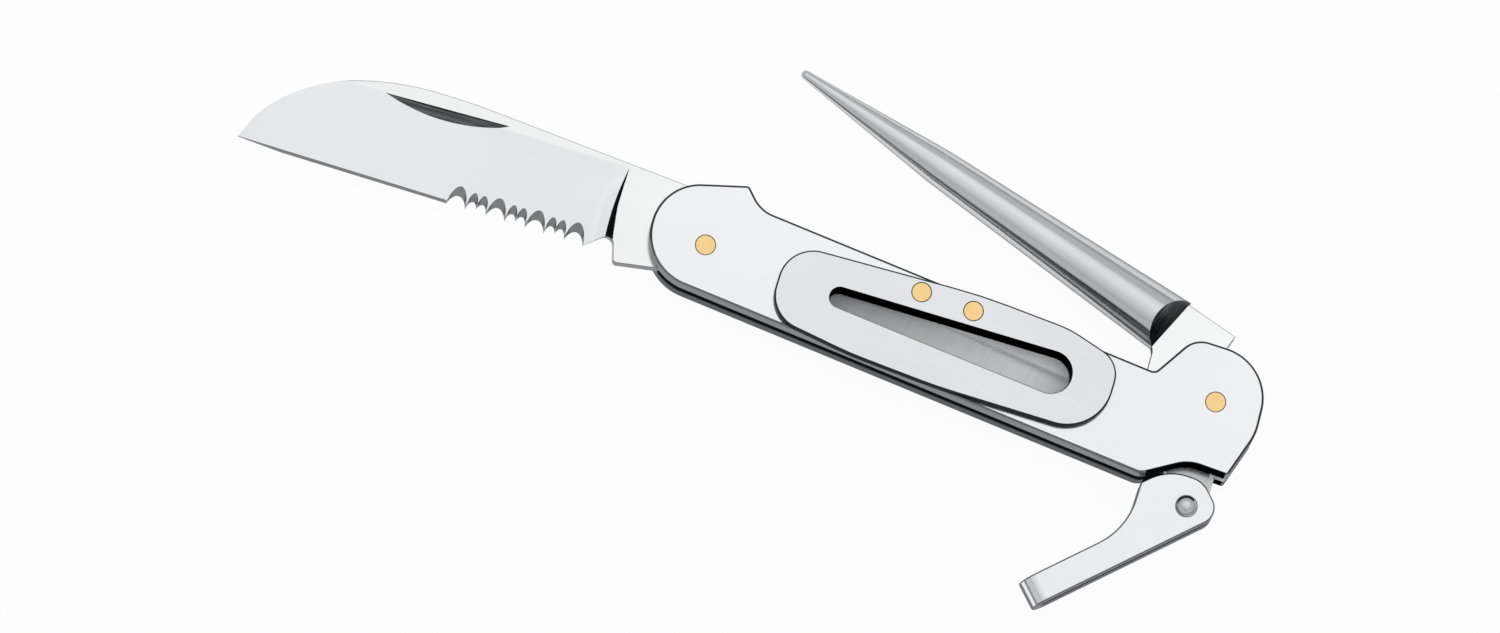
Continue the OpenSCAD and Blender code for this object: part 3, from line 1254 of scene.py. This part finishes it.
@dataclass
class Springs:
    """The blade's spring, and the lock's spring with its lug and the bail's rivet."""

    layout: Layout
    edge: float = 0.12
    rim_clear: float = 0.3
    lug_r: float = 3.3
    dome_r: float = 2.0
    dome_h: float = 1.2
    shank_r: float = 1.2
    dome_steps: int = 14

    def back(self, x: float) -> float:
        """Height of the handle's straight back at x.

        Args:
            x: Where along the handle.

        Returns:
            The height.
        """
        a, b = self.layout.blade_pin, self.layout.spike_pin
        x0, y0, x1, y1 = a[0] + 7.5, a[1] + 8.95, b[0] - 11.6, b[1] + 1.97
        return y0 + (x - x0) * (y1 - y0) / (x1 - x0)

    @staticmethod
    def arc(centre: Sequence[float], r: float, start: float, end: float) -> tuple[Corner, ...]:
        """Corners along an arc, in degrees.

        Args:
            centre: The arc's centre.
            r: Its radius.
            start: Where it starts.
            end: Where it ends.

        Returns:
            The corners.
        """
        steps = math.ceil(abs(end - start) / 4)
        turns = [math.radians(start + (end - start) * k / steps) for k in range(steps + 1)]
        return Outline.at(centre, *[(r * math.cos(t), r * math.sin(t)) for t in turns])

    def blade_spring(self) -> Piece:
        """The spring that bears on the blade.

        Returns:
            The piece.
        """
        a = self.layout.blade_pin
        butt = (self.layout.left_rivet[0] + self.layout.right_rivet[0]) / 2 - 0.3
        rim = 5.5 + self.rim_clear
        corners = (
            self.arc(a, rim, 90, 62)
            + Outline.at(a, (15.5, 5.45), (17.5, 5.1), (33, 1.3))
            + (Corner(butt, 0.2), Corner(butt, self.back(butt) - 0.2), Corner(a[0] + 7.5, a[1] + 8.55))
            + Outline.at(a, (-0.2, 9.3), (-0.2, rim))
        )
        shape = plate(
            Rim(Outline(corners).turned(True), self.edge, self.edge),
            [],
            self.layout.rear_top,
            self.layout.front_low,
        )
        made = shape.build("blade_spring_dressed", materials(Finish.SPRING, Finish.SPRING_EDGE))
        return Piece(made, Body.HANDLE, ("blade_spring",), "spring_steel")

    def lock_spring(self) -> Piece:
        """The spring that ends in the bail's lug.

        Returns:
            The piece.
        """
        b, p, spots = self.layout.spike_pin, self.layout.bail_pin, self.layout
        butt = (spots.left_rivet[0] + spots.right_rivet[0]) / 2
        rim = 7.5 + self.rim_clear
        face_x = 3.7
        far = b[0] - 17
        start, end = 180 + math.degrees(math.asin(1.9 / rim)), 360 - math.degrees(math.acos(face_x / rim))
        corners = (
            (Corner(butt, 0.0), Corner(butt, self.back(butt) - 0.2), Corner(far, self.back(far) - 0.2))
            + Outline.at(b, (-14.2, -1.9))
            + self.arc(b, rim, start, end)
            + self.arc(p, self.lug_r, 0, -180)
            + Outline.at(p, (-self.lug_r, 3.6))
            + Outline.at(b, (-5.3, -13.4), (-7.1, -10), (-8, -7), (-9.7, -4.9))
        )
        half = spots.tang_t / 2
        shape = plate(
            Rim(Outline(corners).turned(True), self.edge, self.edge), [], spots.mid - half, spots.mid + half
        )
        self.mark_lug(shape)
        made = shape.build("lock_spring_dressed", materials(Finish.SPRING, Finish.SPRING_EDGE, Finish.LUG))
        return Piece(made, Body.LOCK, ("lock_spring",), "spring_steel")

    def mark_lug(self, shape: Shape) -> None:
        """Gives the part of the spring that stands out of the handle its own finish.

        Args:
            shape: The lock spring.
        """
        level = self.layout.bail_pin[1] + 7.5
        for i, face in enumerate(shape.faces):
            if sum(shape.points[k][1] for k in face) / len(face) < level:
                shape.sides[i] = Side.INNER

    def bail_rivet(self) -> Piece:
        """The domed rivet in the lug.

        Returns:
            The piece.
        """
        low, high = (v.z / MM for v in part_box("bail_rivet"))
        ball = (self.dome_r**2 + self.dome_h**2) / (2 * self.dome_h)
        widest = math.asin(self.dome_r / ball)
        turns = [widest * k / self.dome_steps for k in range(self.dome_steps + 1)]
        cap = [(ball * math.sin(turn), high - ball + ball * math.cos(turn)) for turn in turns]
        top = cap[::-1]
        bottom = [(r, low + high - z) for r, z in cap]
        profile = bottom + [(self.shank_r, bottom[-1][1]), (self.shank_r, top[0][1])] + top
        x, y = self.layout.bail_pin
        shape = revolved(profile).moved(Matrix.Translation((x, y, 0.0)))
        made = shape.build("bail_rivet_dressed", materials(Finish.RIVET_STEEL))
        return Piece(made, Body.LOCK, ("bail_rivet",), "bail_steel")

    def pieces(self) -> list[Piece]:
        """Both springs and the rivet."""
        return [self.blade_spring(), self.lock_spring(), self.bail_rivet()]


# ---- Blade ----------------------------------------------------------------------------------


def turning_hole(layout: Layout) -> Rim:
    """Rim of the hole that the blade or the spike turns on."""
    return Rim(Outline.circle((0, 0), layout.pivot_r + PIN_CLEAR), 0.03, 0.03, steps=1)


@dataclass
class Blade:
    """The sheepfoot blade, drawn from its pin with its tip to the left."""

    layout: Layout
    edge_drop: float = 5.4
    edge_t: float = 0.3
    grind_top: float = 10.0
    plunge_x: float = -17.3
    plunge_shift: float = 0.65
    plunge_bow: float = 0.7
    plunge_lean: float = 57.0
    plunge_fan: float = 21.0
    cove_run: float = 3.0
    cove_r: float = 15.0
    serration_start: float = -20.4
    scallop_w: float = 3.65
    notch_w: float = 1.75
    scallop_top: float = 3.6
    notch_top: float = 3.2
    cutter_tilt: float = 66.0
    cutter_fit: float = 0.56
    hone: float = 0.55
    nick_chord: float = 22.3
    nick_bow: float = 2.7
    nick_depth: float = 0.5
    nick_place: tuple[float, float] = (33.6, 10.3)
    nick_turn: float = 1.9
    nick_sweep: float = 10.0
    wheel_top: float = 8.0
    plunge_heel: float = 0.1
    grind_rows: int = 24
    cove_steps: int = 8
    cove_fade: float = 0.6
    cutter_length: float = 30.0
    cutter_chamfer: float = 0.01
    over: float = 3.0
    sharp: float = 10.0

    @property
    def reach(self) -> float:
        """Pivot to tip."""
        return self.layout.blade_pin[0] - self.layout.tip_x

    @property
    def slope(self) -> float:
        """How fast each ground face thickens from the edge."""
        return (self.layout.tang_t - self.edge_t) / 2 / (self.grind_top + self.edge_drop)

    def blank(self) -> Shape:
        """The flat blank with its pin hole.

        Returns:
            The blank.
        """
        r, d = self.reach, self.edge_drop
        corners = (
            (
                Corner(-r, 0.5 - d),
                Corner(-r + 2.2, 0.4, 15),
                Corner(-r + 5.8, 4.35, 22),
                Corner(-r + 10.2, 7.62, 29),
                Corner(-r + 14.9, 10.04, 26),
                Corner(-r + 21.7, 11.98, 43),
                Corner(-r + 28.8, 12.86, 55),
                Corner(-r + 38.5, 12.75, 90),
                Corner(self.plunge_x, 10.8),
                Corner(-0.5, 9.65, 0.3),
            )
            + Springs.arc((0, 0), 5.5, 95.2, -116)
            + (
                Corner(-14.6, -d - 1.6, 0.8),
                Corner(-16.1, 3.7 - d, 1.4),
                Corner(self.serration_start, -d),
                Corner(-r + 8, -d, 20),
            )
        )
        half = self.layout.tang_t / 2
        outer = Rim(Outline(corners).turned(True), 0.12, 0.12, steps=3)
        return plate(outer, [turning_hole(self.layout)], -half, half)

    def grind(self) -> Shape:
        """What the grind takes off the front: a flat, a cove and a leaning, bowed plunge.

        Returns:
            The cutter for the front face.
        """
        half, d = self.layout.tang_t / 2, self.edge_drop
        low_y, high_y = -d - 1.0, self.grind_top
        roof = half + 2.0
        shape = Shape()
        rows = []
        for k in range(self.grind_rows + 1):
            along = k / self.grind_rows
            y = low_y + (high_y - low_y) * along
            bow = 4 * self.plunge_bow * along * (1 - along)
            end = self.plunge_x + self.plunge_shift - bow - self.plunge_heel * (1 - along)
            floor = self.edge_t / 2 + self.slope * (y + d)
            room = min(1.0, max(0.0, (half - floor) / self.cove_fade))
            points = [(-self.reach - self.over, roof), (-self.reach - self.over, floor)]
            for step in range(self.cove_steps + 1):
                run = self.cove_run * step / self.cove_steps
                points.append((end - self.cove_run + run, floor + room * run**2 / (2 * self.cove_r)))
            top = points[-1][1]
            lean = math.radians(self.plunge_lean + self.plunge_fan * along)
            points.append((end + (roof - top) * math.tan(lean), roof))
            rows.append(shape.row([(x, y, z) for x, z in points]))
        count = len(rows[0])
        for near, far in zip(rows, rows[1:]):
            for i in range(count):
                j = (i + 1) % count
                side = Side.INNER if i == count - 2 else Side.FLAT
                shape.face((near[i], near[j], far[j], far[i]), side)
        shape.face(rows[0][::-1], Side.FLAT)
        shape.face(rows[-1], Side.FLAT)
        return shape

    def hone_cut(self) -> Shape:
        """What honing takes off the plain part of the edge.

        Returns:
            The cutter for the front face.
        """
        d, lift = self.edge_drop, self.hone
        face = self.edge_t / 2 + self.slope * lift
        fall = (face - 0.03) / lift
        below, roof = -d - 1.0, 1.5
        section = [(-d + lift, face), (below, face - fall * (lift + 1.0)), (below, roof), (-d + lift, roof)]
        return prism(section[::-1], -self.reach - self.over, self.serration_start - self.edge_run())

    def edge_run(self) -> float:
        """Length of the serrated part of the edge."""
        return 4 * self.scallop_w + 6 * self.notch_w

    def serration_rows(self) -> list[Object]:
        """Cutters for the large serrations and the two rows of small ones.

        Returns:
            The rows of cutters.
        """
        pitch = self.scallop_w + 2 * self.notch_w
        rows = []
        for name, w, top, first, count in (
            ("large", self.scallop_w, self.scallop_top, self.scallop_w / 2, 4),
            ("small_near", self.notch_w, self.notch_top, self.scallop_w + self.notch_w / 2, 3),
            ("small_far", self.notch_w, self.notch_top, self.scallop_w + self.notch_w * 1.5, 3),
        ):
            face = self.edge_t / 2 + self.slope * top
            lean = math.radians(self.cutter_tilt)
            r = self.cutter_fit * w
            place = Vector((self.serration_start - first, top - self.edge_drop, face))
            place += Vector((0.0, -r * math.cos(lean), r * math.sin(lean)))
            step = Vector((-pitch, 0, 0))
            pins = RowOfPins(
                count, place, step, r, self.cutter_length, self.cutter_chamfer, -self.cutter_tilt
            )
            rows.append(pins.build(name, Finish.SERRATION))
        return rows

    def nick_cutter(self) -> Object:
        """The wide wheel that grinds the nail nick.

        Returns:
            The wheel.
        """
        wheel = self.nick_chord**2 / (8 * self.nick_depth)
        width = 2 * self.nick_bow
        shape = Shape()
        angles = np.radians(np.arange(-90 - self.nick_sweep, -90 + self.nick_sweep + 0.01, 0.4))
        rim = [(wheel * math.cos(t), wheel + wheel * math.sin(t)) for t in angles]
        section = rim + [(rim[-1][0], self.wheel_top), (rim[0][0], self.wheel_top)]
        near, far = (shape.row([(x, y, z) for x, y in section]) for z in (0.0, width))
        shape.band(near, far, 0)
        shape.cap([near], False, 1)
        shape.cap([far], True, 0)
        lean = math.atan(self.nick_depth / self.nick_bow)
        x, y = self.nick_place
        spot = (-self.reach + x, y, self.layout.tang_t / 2 - self.nick_depth)
        place = turned_at(spot, self.nick_turn) @ Matrix.Rotation(math.pi / 2 - lean, 4, "X")
        return shape.moved(place).build("nick_wheel", materials(Finish.NICK, Finish.BLADE_EDGE), True)

    def pieces(self) -> list[Piece]:
        """The blade.

        Returns:
            The one piece.
        """
        made = self.blank().build("blade_dressed", materials(Finish.BLADE_FLAT, Finish.BLADE_EDGE), True)
        ground = materials(Finish.BLADE_GRIND, Finish.BLADE_EDGE, Finish.PLUNGE)
        cutters = []
        for name, shape, finishes in (
            ("grind", self.grind(), ground),
            ("hone", self.hone_cut(), materials(Finish.BLADE_EDGE)),
        ):
            cutters.append(shape.build(f"front_{name}", finishes, True))
            cutters.append(shape.moved(OTHER_FACE).build(f"rear_{name}", finishes, True))
        cutters += [*self.serration_rows(), self.nick_cutter()]
        crisp(carve(made, cutters), self.sharp)
        x, y = self.layout.blade_pin
        made.data.transform(Matrix.Translation(Vector((x, y, self.layout.mid)) * MM))
        return [Piece(made, Body.BLADE, ("blade",), "blade_steel")]


# ---- Marlin spike ---------------------------------------------------------------------------


@dataclass
class MarlinSpike:
    """The round spike and its flat tang, drawn open along +X from its pin."""

    layout: Layout
    base_d: float = 10.7
    swell_d: float = 6.6
    swell_share: float = 0.63
    tip_d: float = 1.6
    reach: float = 92.6
    base: float = 14.2
    rise: float = 2.3
    shoulder_tilt: float = -6.6
    shoulder_slope: float = 52.0
    stop: tuple[float, float] = (3.85, -12.4)
    rim_r: float = 7.5
    angle: float = 162.1
    round_rows: int = 60
    ball_steps: int = 12
    facets: int = 128
    over: float = 1.0
    sharp: float = 30.0

    def tang(self) -> Shape:
        """The flat tang.

        Returns:
            The tang.
        """
        sx, sy = self.stop
        start = math.degrees(math.asin(1.9 / self.rim_r))
        end = 360 - math.degrees(math.acos(sx / self.rim_r))
        corners = (
            (
                Corner(sx, sy, 0.2),
                Corner(self.base + 3, sy),
                Corner(self.base + 3, -self.rise - 2),
                Corner(self.base + 0.5, -self.rise),
                Corner(self.base, -1.7, 0.3),
                Corner(13.2, 1.2, 0.3),
                Corner(12.8, 1.9, 0.4),
            )
            + Springs.arc((0, 0), self.rim_r, start, end)
        )
        half = self.layout.tang_t / 2
        outer = Rim(Outline(corners).turned(True), 0.1, 0.1, steps=3)
        return plate(outer, [turning_hole(self.layout)], -half, half)

    def round_bar(self) -> Object:
        """The tapered round, cut back to the tang on both faces.

        Returns:
            The round.
        """
        axis_y = -self.rise - self.base_d / 2
        length = self.reach - self.base
        ball = self.tip_d / 2
        swell = self.swell_share * length
        taper = (self.base_d - self.swell_d) / 2 / swell
        profile = [(AXIS_R, -self.over)]
        for k in range(self.round_rows + 1):
            along = -self.over + (length - ball + self.over) * k / self.round_rows
            if along < swell:
                r = self.base_d / 2 - taper * along
            else:
                r = self.swell_d / 2 + (ball - self.swell_d / 2) * (along - swell) / (length - ball - swell)
            profile.append((r, along))
        for k in range(1, self.ball_steps + 1):
            turn = math.pi / 2 * k / self.ball_steps
            profile.append((max(AXIS_R, ball * math.cos(turn)), length - ball + ball * math.sin(turn)))
        bar = revolved(profile, self.facets).moved(
            Matrix.Translation((self.base, axis_y, 0.0)) @ Matrix.Rotation(math.pi / 2, 4, "Y")
        )
        made = bar.build("marlin_spike_dressed", materials(Finish.SPIKE), True)
        place = turned_at((self.base, axis_y, 0.0), self.shoulder_tilt)
        half, big = self.layout.tang_t / 2, self.base_d
        rise = math.tan(math.radians(self.shoulder_slope))
        run = (big - half) / rise
        cutters = []
        block = prism([(-big, -big), (big, -big), (big, big), (-big, big)], -big, 0.0)
        cutters.append(block.moved(place).build("heel_cut", materials(Finish.SPIKE_SHOULDER), True))
        for side in (1, -1):
            wedge = Shape()
            section = [(-self.over, half - rise * self.over), (run, big), (-self.over, big)]
            near, far = (wedge.row([(x, y, side * z) for x, z in section]) for y in (-big, big))
            wedge.band(near, far, 0)
            wedge.face(near, 0)
            wedge.face(far, 0)
            cutters.append(wedge.moved(place).build("shoulder_cut", materials(Finish.SPIKE_SHOULDER), True))
        return crisp(carve(made, cutters), self.sharp)

    def pieces(self) -> list[Piece]:
        """The spike, its round and its tang as two pieces of one body.

        Returns:
            The round and the tang.
        """
        x, y = self.layout.spike_pin
        place = turned_at(Vector((x, y, self.layout.mid)) * MM, self.angle)
        bar = self.round_bar()
        tang = self.tang().build("spike_tang_dressed", materials(Finish.SPIKE_FLAT, Finish.TANG_EDGE))
        for made in (bar, tang):
            made.data.transform(place)
        return [Piece(made, Body.SPIKE, ("marlin_spike",), "spike_steel") for made in (bar, tang)]


# ---- Bail -----------------------------------------------------------------------------------


@dataclass
class Bail:
    """The bent strap, drawn along +X from its rivet."""

    layout: Layout
    strap_t: float = 1.6
    strap_w: float = 5.2
    reach: float = 32.1
    eye_edge: float = 4.1
    pin_r: float = 1.25
    edge: float = 0.3
    angle: float = 223.6
    bend_shade_step: int = 13
    bend_steps: int = 36

    @property
    def inner_r(self) -> float:
        """Inner radius of the bend."""
        return (self.layout.tang_t + 0.2) / 2

    def arm(self) -> Shape:
        """The front arm, open at its far end.

        Returns:
            The arm.
        """
        end = self.reach - self.inner_r - self.strap_t
        corners = (
            Corner(end, self.eye_edge),
            Corner(-4.7, self.eye_edge, 3.1),
            Corner(-4.7, -2.6, 4.5),
            Corner(-0.3, -7.3, 9),
            Corner(5.2, -7.3, 0.8),
            Corner(11.3, self.eye_edge - self.strap_w, 13),
            Corner(end, self.eye_edge - self.strap_w),
        )
        hole = Rim(Outline.circle((0, 0), self.pin_r), 0.05, 0.1, steps=2)
        return plate(
            Rim(Outline(corners).turned(True), self.edge, self.edge),
            [hole],
            self.inner_r,
            self.inner_r + self.strap_t,
            open_edge=len(corners) - 1,
            caps=(Side.INNER, Side.FLAT),
        )

    def bend(self) -> Shape:
        """The half turn that joins the arms, with the same rounded section.

        Returns:
            The bend.
        """
        low, high = self.inner_r, self.inner_r + self.strap_t
        end = self.reach - high
        rows = Rim(Outline(()), self.edge, self.edge).profile(low, high)
        section = []
        for inset, z, angle in rows:
            section.append((self.eye_edge - inset, z, math.cos(angle), math.sin(angle), Side.EDGE))
        far_edge = self.eye_edge - self.strap_w
        for inset, z, angle in reversed(rows):
            section.append((far_edge + inset, z, -math.cos(angle), math.sin(angle), Side.EDGE))
        shape = Shape()
        rings = []
        for k in range(self.bend_steps + 1):
            turn = math.pi * k / self.bend_steps
            c, s = math.cos(turn), math.sin(turn)
            spots = [(end + z * s, y, z * c) for y, z, _, _, _ in section]
            tilts = [(ny_z * s, ny, ny_z * c) for _, _, ny, ny_z, _ in section]
            rings.append(shape.ring(np.array(spots), np.array(tilts)))
        half = len(rows)
        count = 2 * half
        for k, (near, far) in enumerate(zip(rings, rings[1:])):
            for i in range(count):
                j = (i + 1) % count
                # Past this step the outside takes the grey edge finish: painted shade where the bend turns
                # away
                outside = Side.FLAT if k < self.bend_shade_step else Side.EDGE
                side = {half - 1: outside, count - 1: Side.INNER}.get(i, Side.EDGE)
                shape.face((near[i], near[j], far[j], far[i]), side)
        return shape

    def pieces(self) -> list[Piece]:
        """The bail.

        Returns:
            The one piece.
        """
        arm = self.arm()
        shape = Shape().join(arm).join(arm.moved(OTHER_FACE)).join(self.bend())
        x, y = self.layout.bail_pin
        place = turned_at((x, y, self.layout.mid), self.angle)
        # The arms' inner faces take the near-black painted shade of the gap
        finishes = materials(Finish.BAIL_FACE, Finish.BAIL_EDGE, Finish.SCALE_SHUT)
        made = shape.moved(place).build("bail_dressed", finishes)
        return [Piece(made, Body.BAIL, ("bail",), "bail_steel")]


# ---- Studio ---------------------------------------------------------------------------------


@dataclass
class Studio:
    """A pale floor, soft light, cards that only reflections see, and the camera."""

    layout: Layout
    elevation: float = 78.0
    roll: float = 17.11
    scale_px: float = 5.74
    anchor_px: tuple[float, float] = (705.5, 244.9)
    image: tuple[int, int] = (1500, 633)
    distance: float = 2600.0
    sensor: float = 36.0
    fill: float = 0.7
    floor_half: float = 3.0
    floor_level: float = -0.0002
    floor_share: float = 0.94
    ring_r: float = 0.5
    ring_h: float = 0.5
    ring_foot: tuple[float, float] = (0.22, 0.42)
    ring_top: float = 0.62
    ceiling_h: float = 0.5
    ceiling_half: float = 0.6
    ceiling_front: float = -0.5
    ceiling_rear: float = 0.8
    ceiling_border: float = 0.05

    def camera(self) -> None:
        """Places the camera so that the blade pivot's face falls on the anchor."""
        tilt, roll = math.radians(90 - self.elevation), math.radians(self.roll)
        up_y, up_z = math.cos(tilt), math.sin(tilt)
        right = Vector((math.cos(roll), math.sin(roll) * up_y, math.sin(roll) * up_z))
        up = Vector((-math.sin(roll), math.cos(roll) * up_y, math.cos(roll) * up_z))
        back = right.cross(up)
        x, y = self.layout.blade_pin
        across = (self.image[0] / 2 - self.anchor_px[0]) / self.scale_px
        down = (self.image[1] / 2 - self.anchor_px[1]) / self.scale_px
        target = Vector((x, y, self.layout.front_top)) + right * across - up * down
        place = (target + back * self.distance) * MM
        lens = bpy.data.cameras.new("camera")
        lens.type = "PERSP"
        lens.sensor_width = self.sensor
        lens.lens = self.scale_px * self.sensor * self.distance / self.image[0]
        lens.clip_start, lens.clip_end = 0.05, 20.0
        made = put("camera", lens)
        made.matrix_world = Matrix.Translation(place) @ Matrix((right, up, back)).transposed().to_4x4()
        bpy.context.scene.camera = made

    @staticmethod
    def seen_white(tree: Tree) -> Socket:
        """One for rays from the camera, a gloss or a clear body, and nothing for the rest.

        Args:
            tree: The tree that asks.

        Returns:
            The factor.
        """
        path = add_node(tree, "ShaderNodeLightPath").outputs
        seen = maths(tree, "MAXIMUM", path["Is Camera Ray"], path["Is Glossy Ray"])
        return maths(tree, "MAXIMUM", seen, path["Is Transmission Ray"])

    def floor(self) -> None:
        """A pale floor that still takes a soft shadow."""
        mesh = bpy.data.meshes.new("floor")
        half = self.floor_half
        spots = [(x * half, y * half, 0) for x, y in ((-1, -1), (1, -1), (1, 1), (-1, 1))]
        mesh.from_pydata(spots, [], [(0, 1, 2, 3)])
        made = put("floor", mesh)
        made.location.z = self.floor_level
        paint = bpy.data.materials.new("Pale studio floor")
        tree = blank_tree(paint)
        matt = add_node(tree, "ShaderNodeBsdfDiffuse", {"Color": (0.92, 0.92, 0.92, 1)})
        glow = add_node(tree, "ShaderNodeEmission", {"Color": WHITE, "Strength": 1.0})
        share = maths(tree, "MULTIPLY", self.seen_white(tree), self.floor_share)
        mix = add_node(tree, "ShaderNodeMixShader", {0: share, 1: matt.outputs[0], 2: glow.outputs[0]})
        add_node(tree, "ShaderNodeOutputMaterial", {"Surface": mix.outputs[0]})
        mesh.materials.append(paint)

    def world(self) -> None:
        """Even pale light from all round."""
        world = bpy.data.worlds.new("studio")
        bpy.context.scene.world = world
        tree = blank_tree(world)
        level = ranged(tree, self.seen_white(tree), (0.0, 1.0), (self.fill, 1.0))
        light = add_node(tree, "ShaderNodeBackground", {"Color": WHITE, "Strength": level})
        add_node(tree, "ShaderNodeOutputWorld", {"Surface": light.outputs[0]})

    def softbox(self, place: tuple[float, float, float], size: tuple[float, float], power: float) -> None:
        """A large rectangular lamp that faces the origin.

        Args:
            place: Its position in metres.
            size: Its width and height in metres.
            power: Its power in watts.
        """
        lamp = bpy.data.lights.new("softbox", "AREA")
        lamp.shape = "RECTANGLE"
        lamp.size, lamp.size_y = size
        lamp.energy = power
        made = put("softbox", lamp)
        made.location = place
        made.rotation_euler = Vector(place).to_track_quat("Z", "Y").to_euler()
        made.visible_glossy = False

    def card(self, name: str, shape: Shape, level: Socket, tree: Tree) -> None:
        """Stands a glowing card that only polished metal mirrors.

        Args:
            name: The card's name.
            shape: Its shape.
            level: How bright each point of it is.
            tree: The tree of its material, which has the card's name.
        """
        glow = add_node(tree, "ShaderNodeEmission", {"Color": WHITE, "Strength": level})
        add_node(tree, "ShaderNodeOutputMaterial", {"Surface": glow.outputs[0]})
        made = shape.build(name, [bpy.data.materials[name]])
        for ray in ("camera", "diffuse", "shadow", "transmission"):
            setattr(made, f"visible_{ray}", False)

    def ring(self) -> None:
        """A ring of cards round the set: grey at the back, darker at the front's foot."""
        radius, height = self.ring_r, self.ring_h
        shape = revolved([(radius / MM, height / MM), (radius / MM, 0.0)], 64)
        name = "Graded ring"
        tree = blank_tree(bpy.data.materials.new(name))
        parts = add_node(tree, "ShaderNodeSeparateXYZ", {"Vector": own_place(tree)}).outputs
        foot = ranged(tree, parts["Y"], (-radius * 0.2, radius * 0.6), self.ring_foot, True)
        rise = ranged(tree, parts["Z"], (height * 0.14, height * 0.36), (foot, self.ring_top), True)
        self.card(name, shape, rise, tree)

    def ceiling(self) -> None:
        """A low ceiling card with a dark front border and soft uneven bands, which the flats mirror."""
        half_x, front, rear = self.ceiling_half, self.ceiling_front, self.ceiling_rear
        shape = Shape()
        corners = [(-half_x, front), (-half_x, rear), (half_x, rear), (half_x, front)]
        spots = np.array([(x / MM, y / MM, self.ceiling_h / MM) for x, y in corners])
        shape.face(shape.ring(spots, np.tile((0.0, 0.0, -1.0), (4, 1))), 0)
        name = "Uneven ceiling"
        tree = blank_tree(bpy.data.materials.new(name))
        place = own_place(tree)
        peak = mapped(tree, place, Location=(0.0, -0.34, 0.0), Scale=(1.6, 1.7, 0.0))
        away = add_node(tree, "ShaderNodeVectorMath", {0: peak}, operation="LENGTH").outputs["Value"]
        fall = ranged(tree, away, (0.1, 1.1), (1.06, 0.58), True)
        drift = mapped(tree, place, Rotation=(0, 0, math.radians(-22)), Scale=(14, 4.5, 1))
        uneven = ranged(tree, noise(tree, drift, 1.0, Detail=1.0), (0.42, 0.60), (0.91, 1.01))
        along = add_node(tree, "ShaderNodeSeparateXYZ", {"Vector": place}).outputs["Y"]
        border = maths(tree, "GREATER_THAN", along, front + self.ceiling_border)
        level = maths(tree, "MULTIPLY", fall, uneven)
        self.card(name, shape, maths(tree, "MULTIPLY", level, border), tree)

    def build(self) -> None:
        """Sets the whole studio."""
        view = bpy.context.scene.view_settings
        view.view_transform = "Standard"
        self.camera()
        self.floor()
        self.world()
        self.ring()
        self.ceiling()
        self.softbox((0.0, 0.25, 1.2), (1.1, 0.9), 3.1)


def main() -> None:
    """Builds the pieces and the studio."""
    logging.basicConfig(level=logging.INFO, format="%(message)s")
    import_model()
    layout = Layout.read()
    for group in (Handle(layout), Springs(layout), Blade(layout), MarlinSpike(layout), Bail(layout)):
        for piece in group.pieces():
            piece.settle()
    Studio(layout).build()


if __name__ == "__main__":
    main()
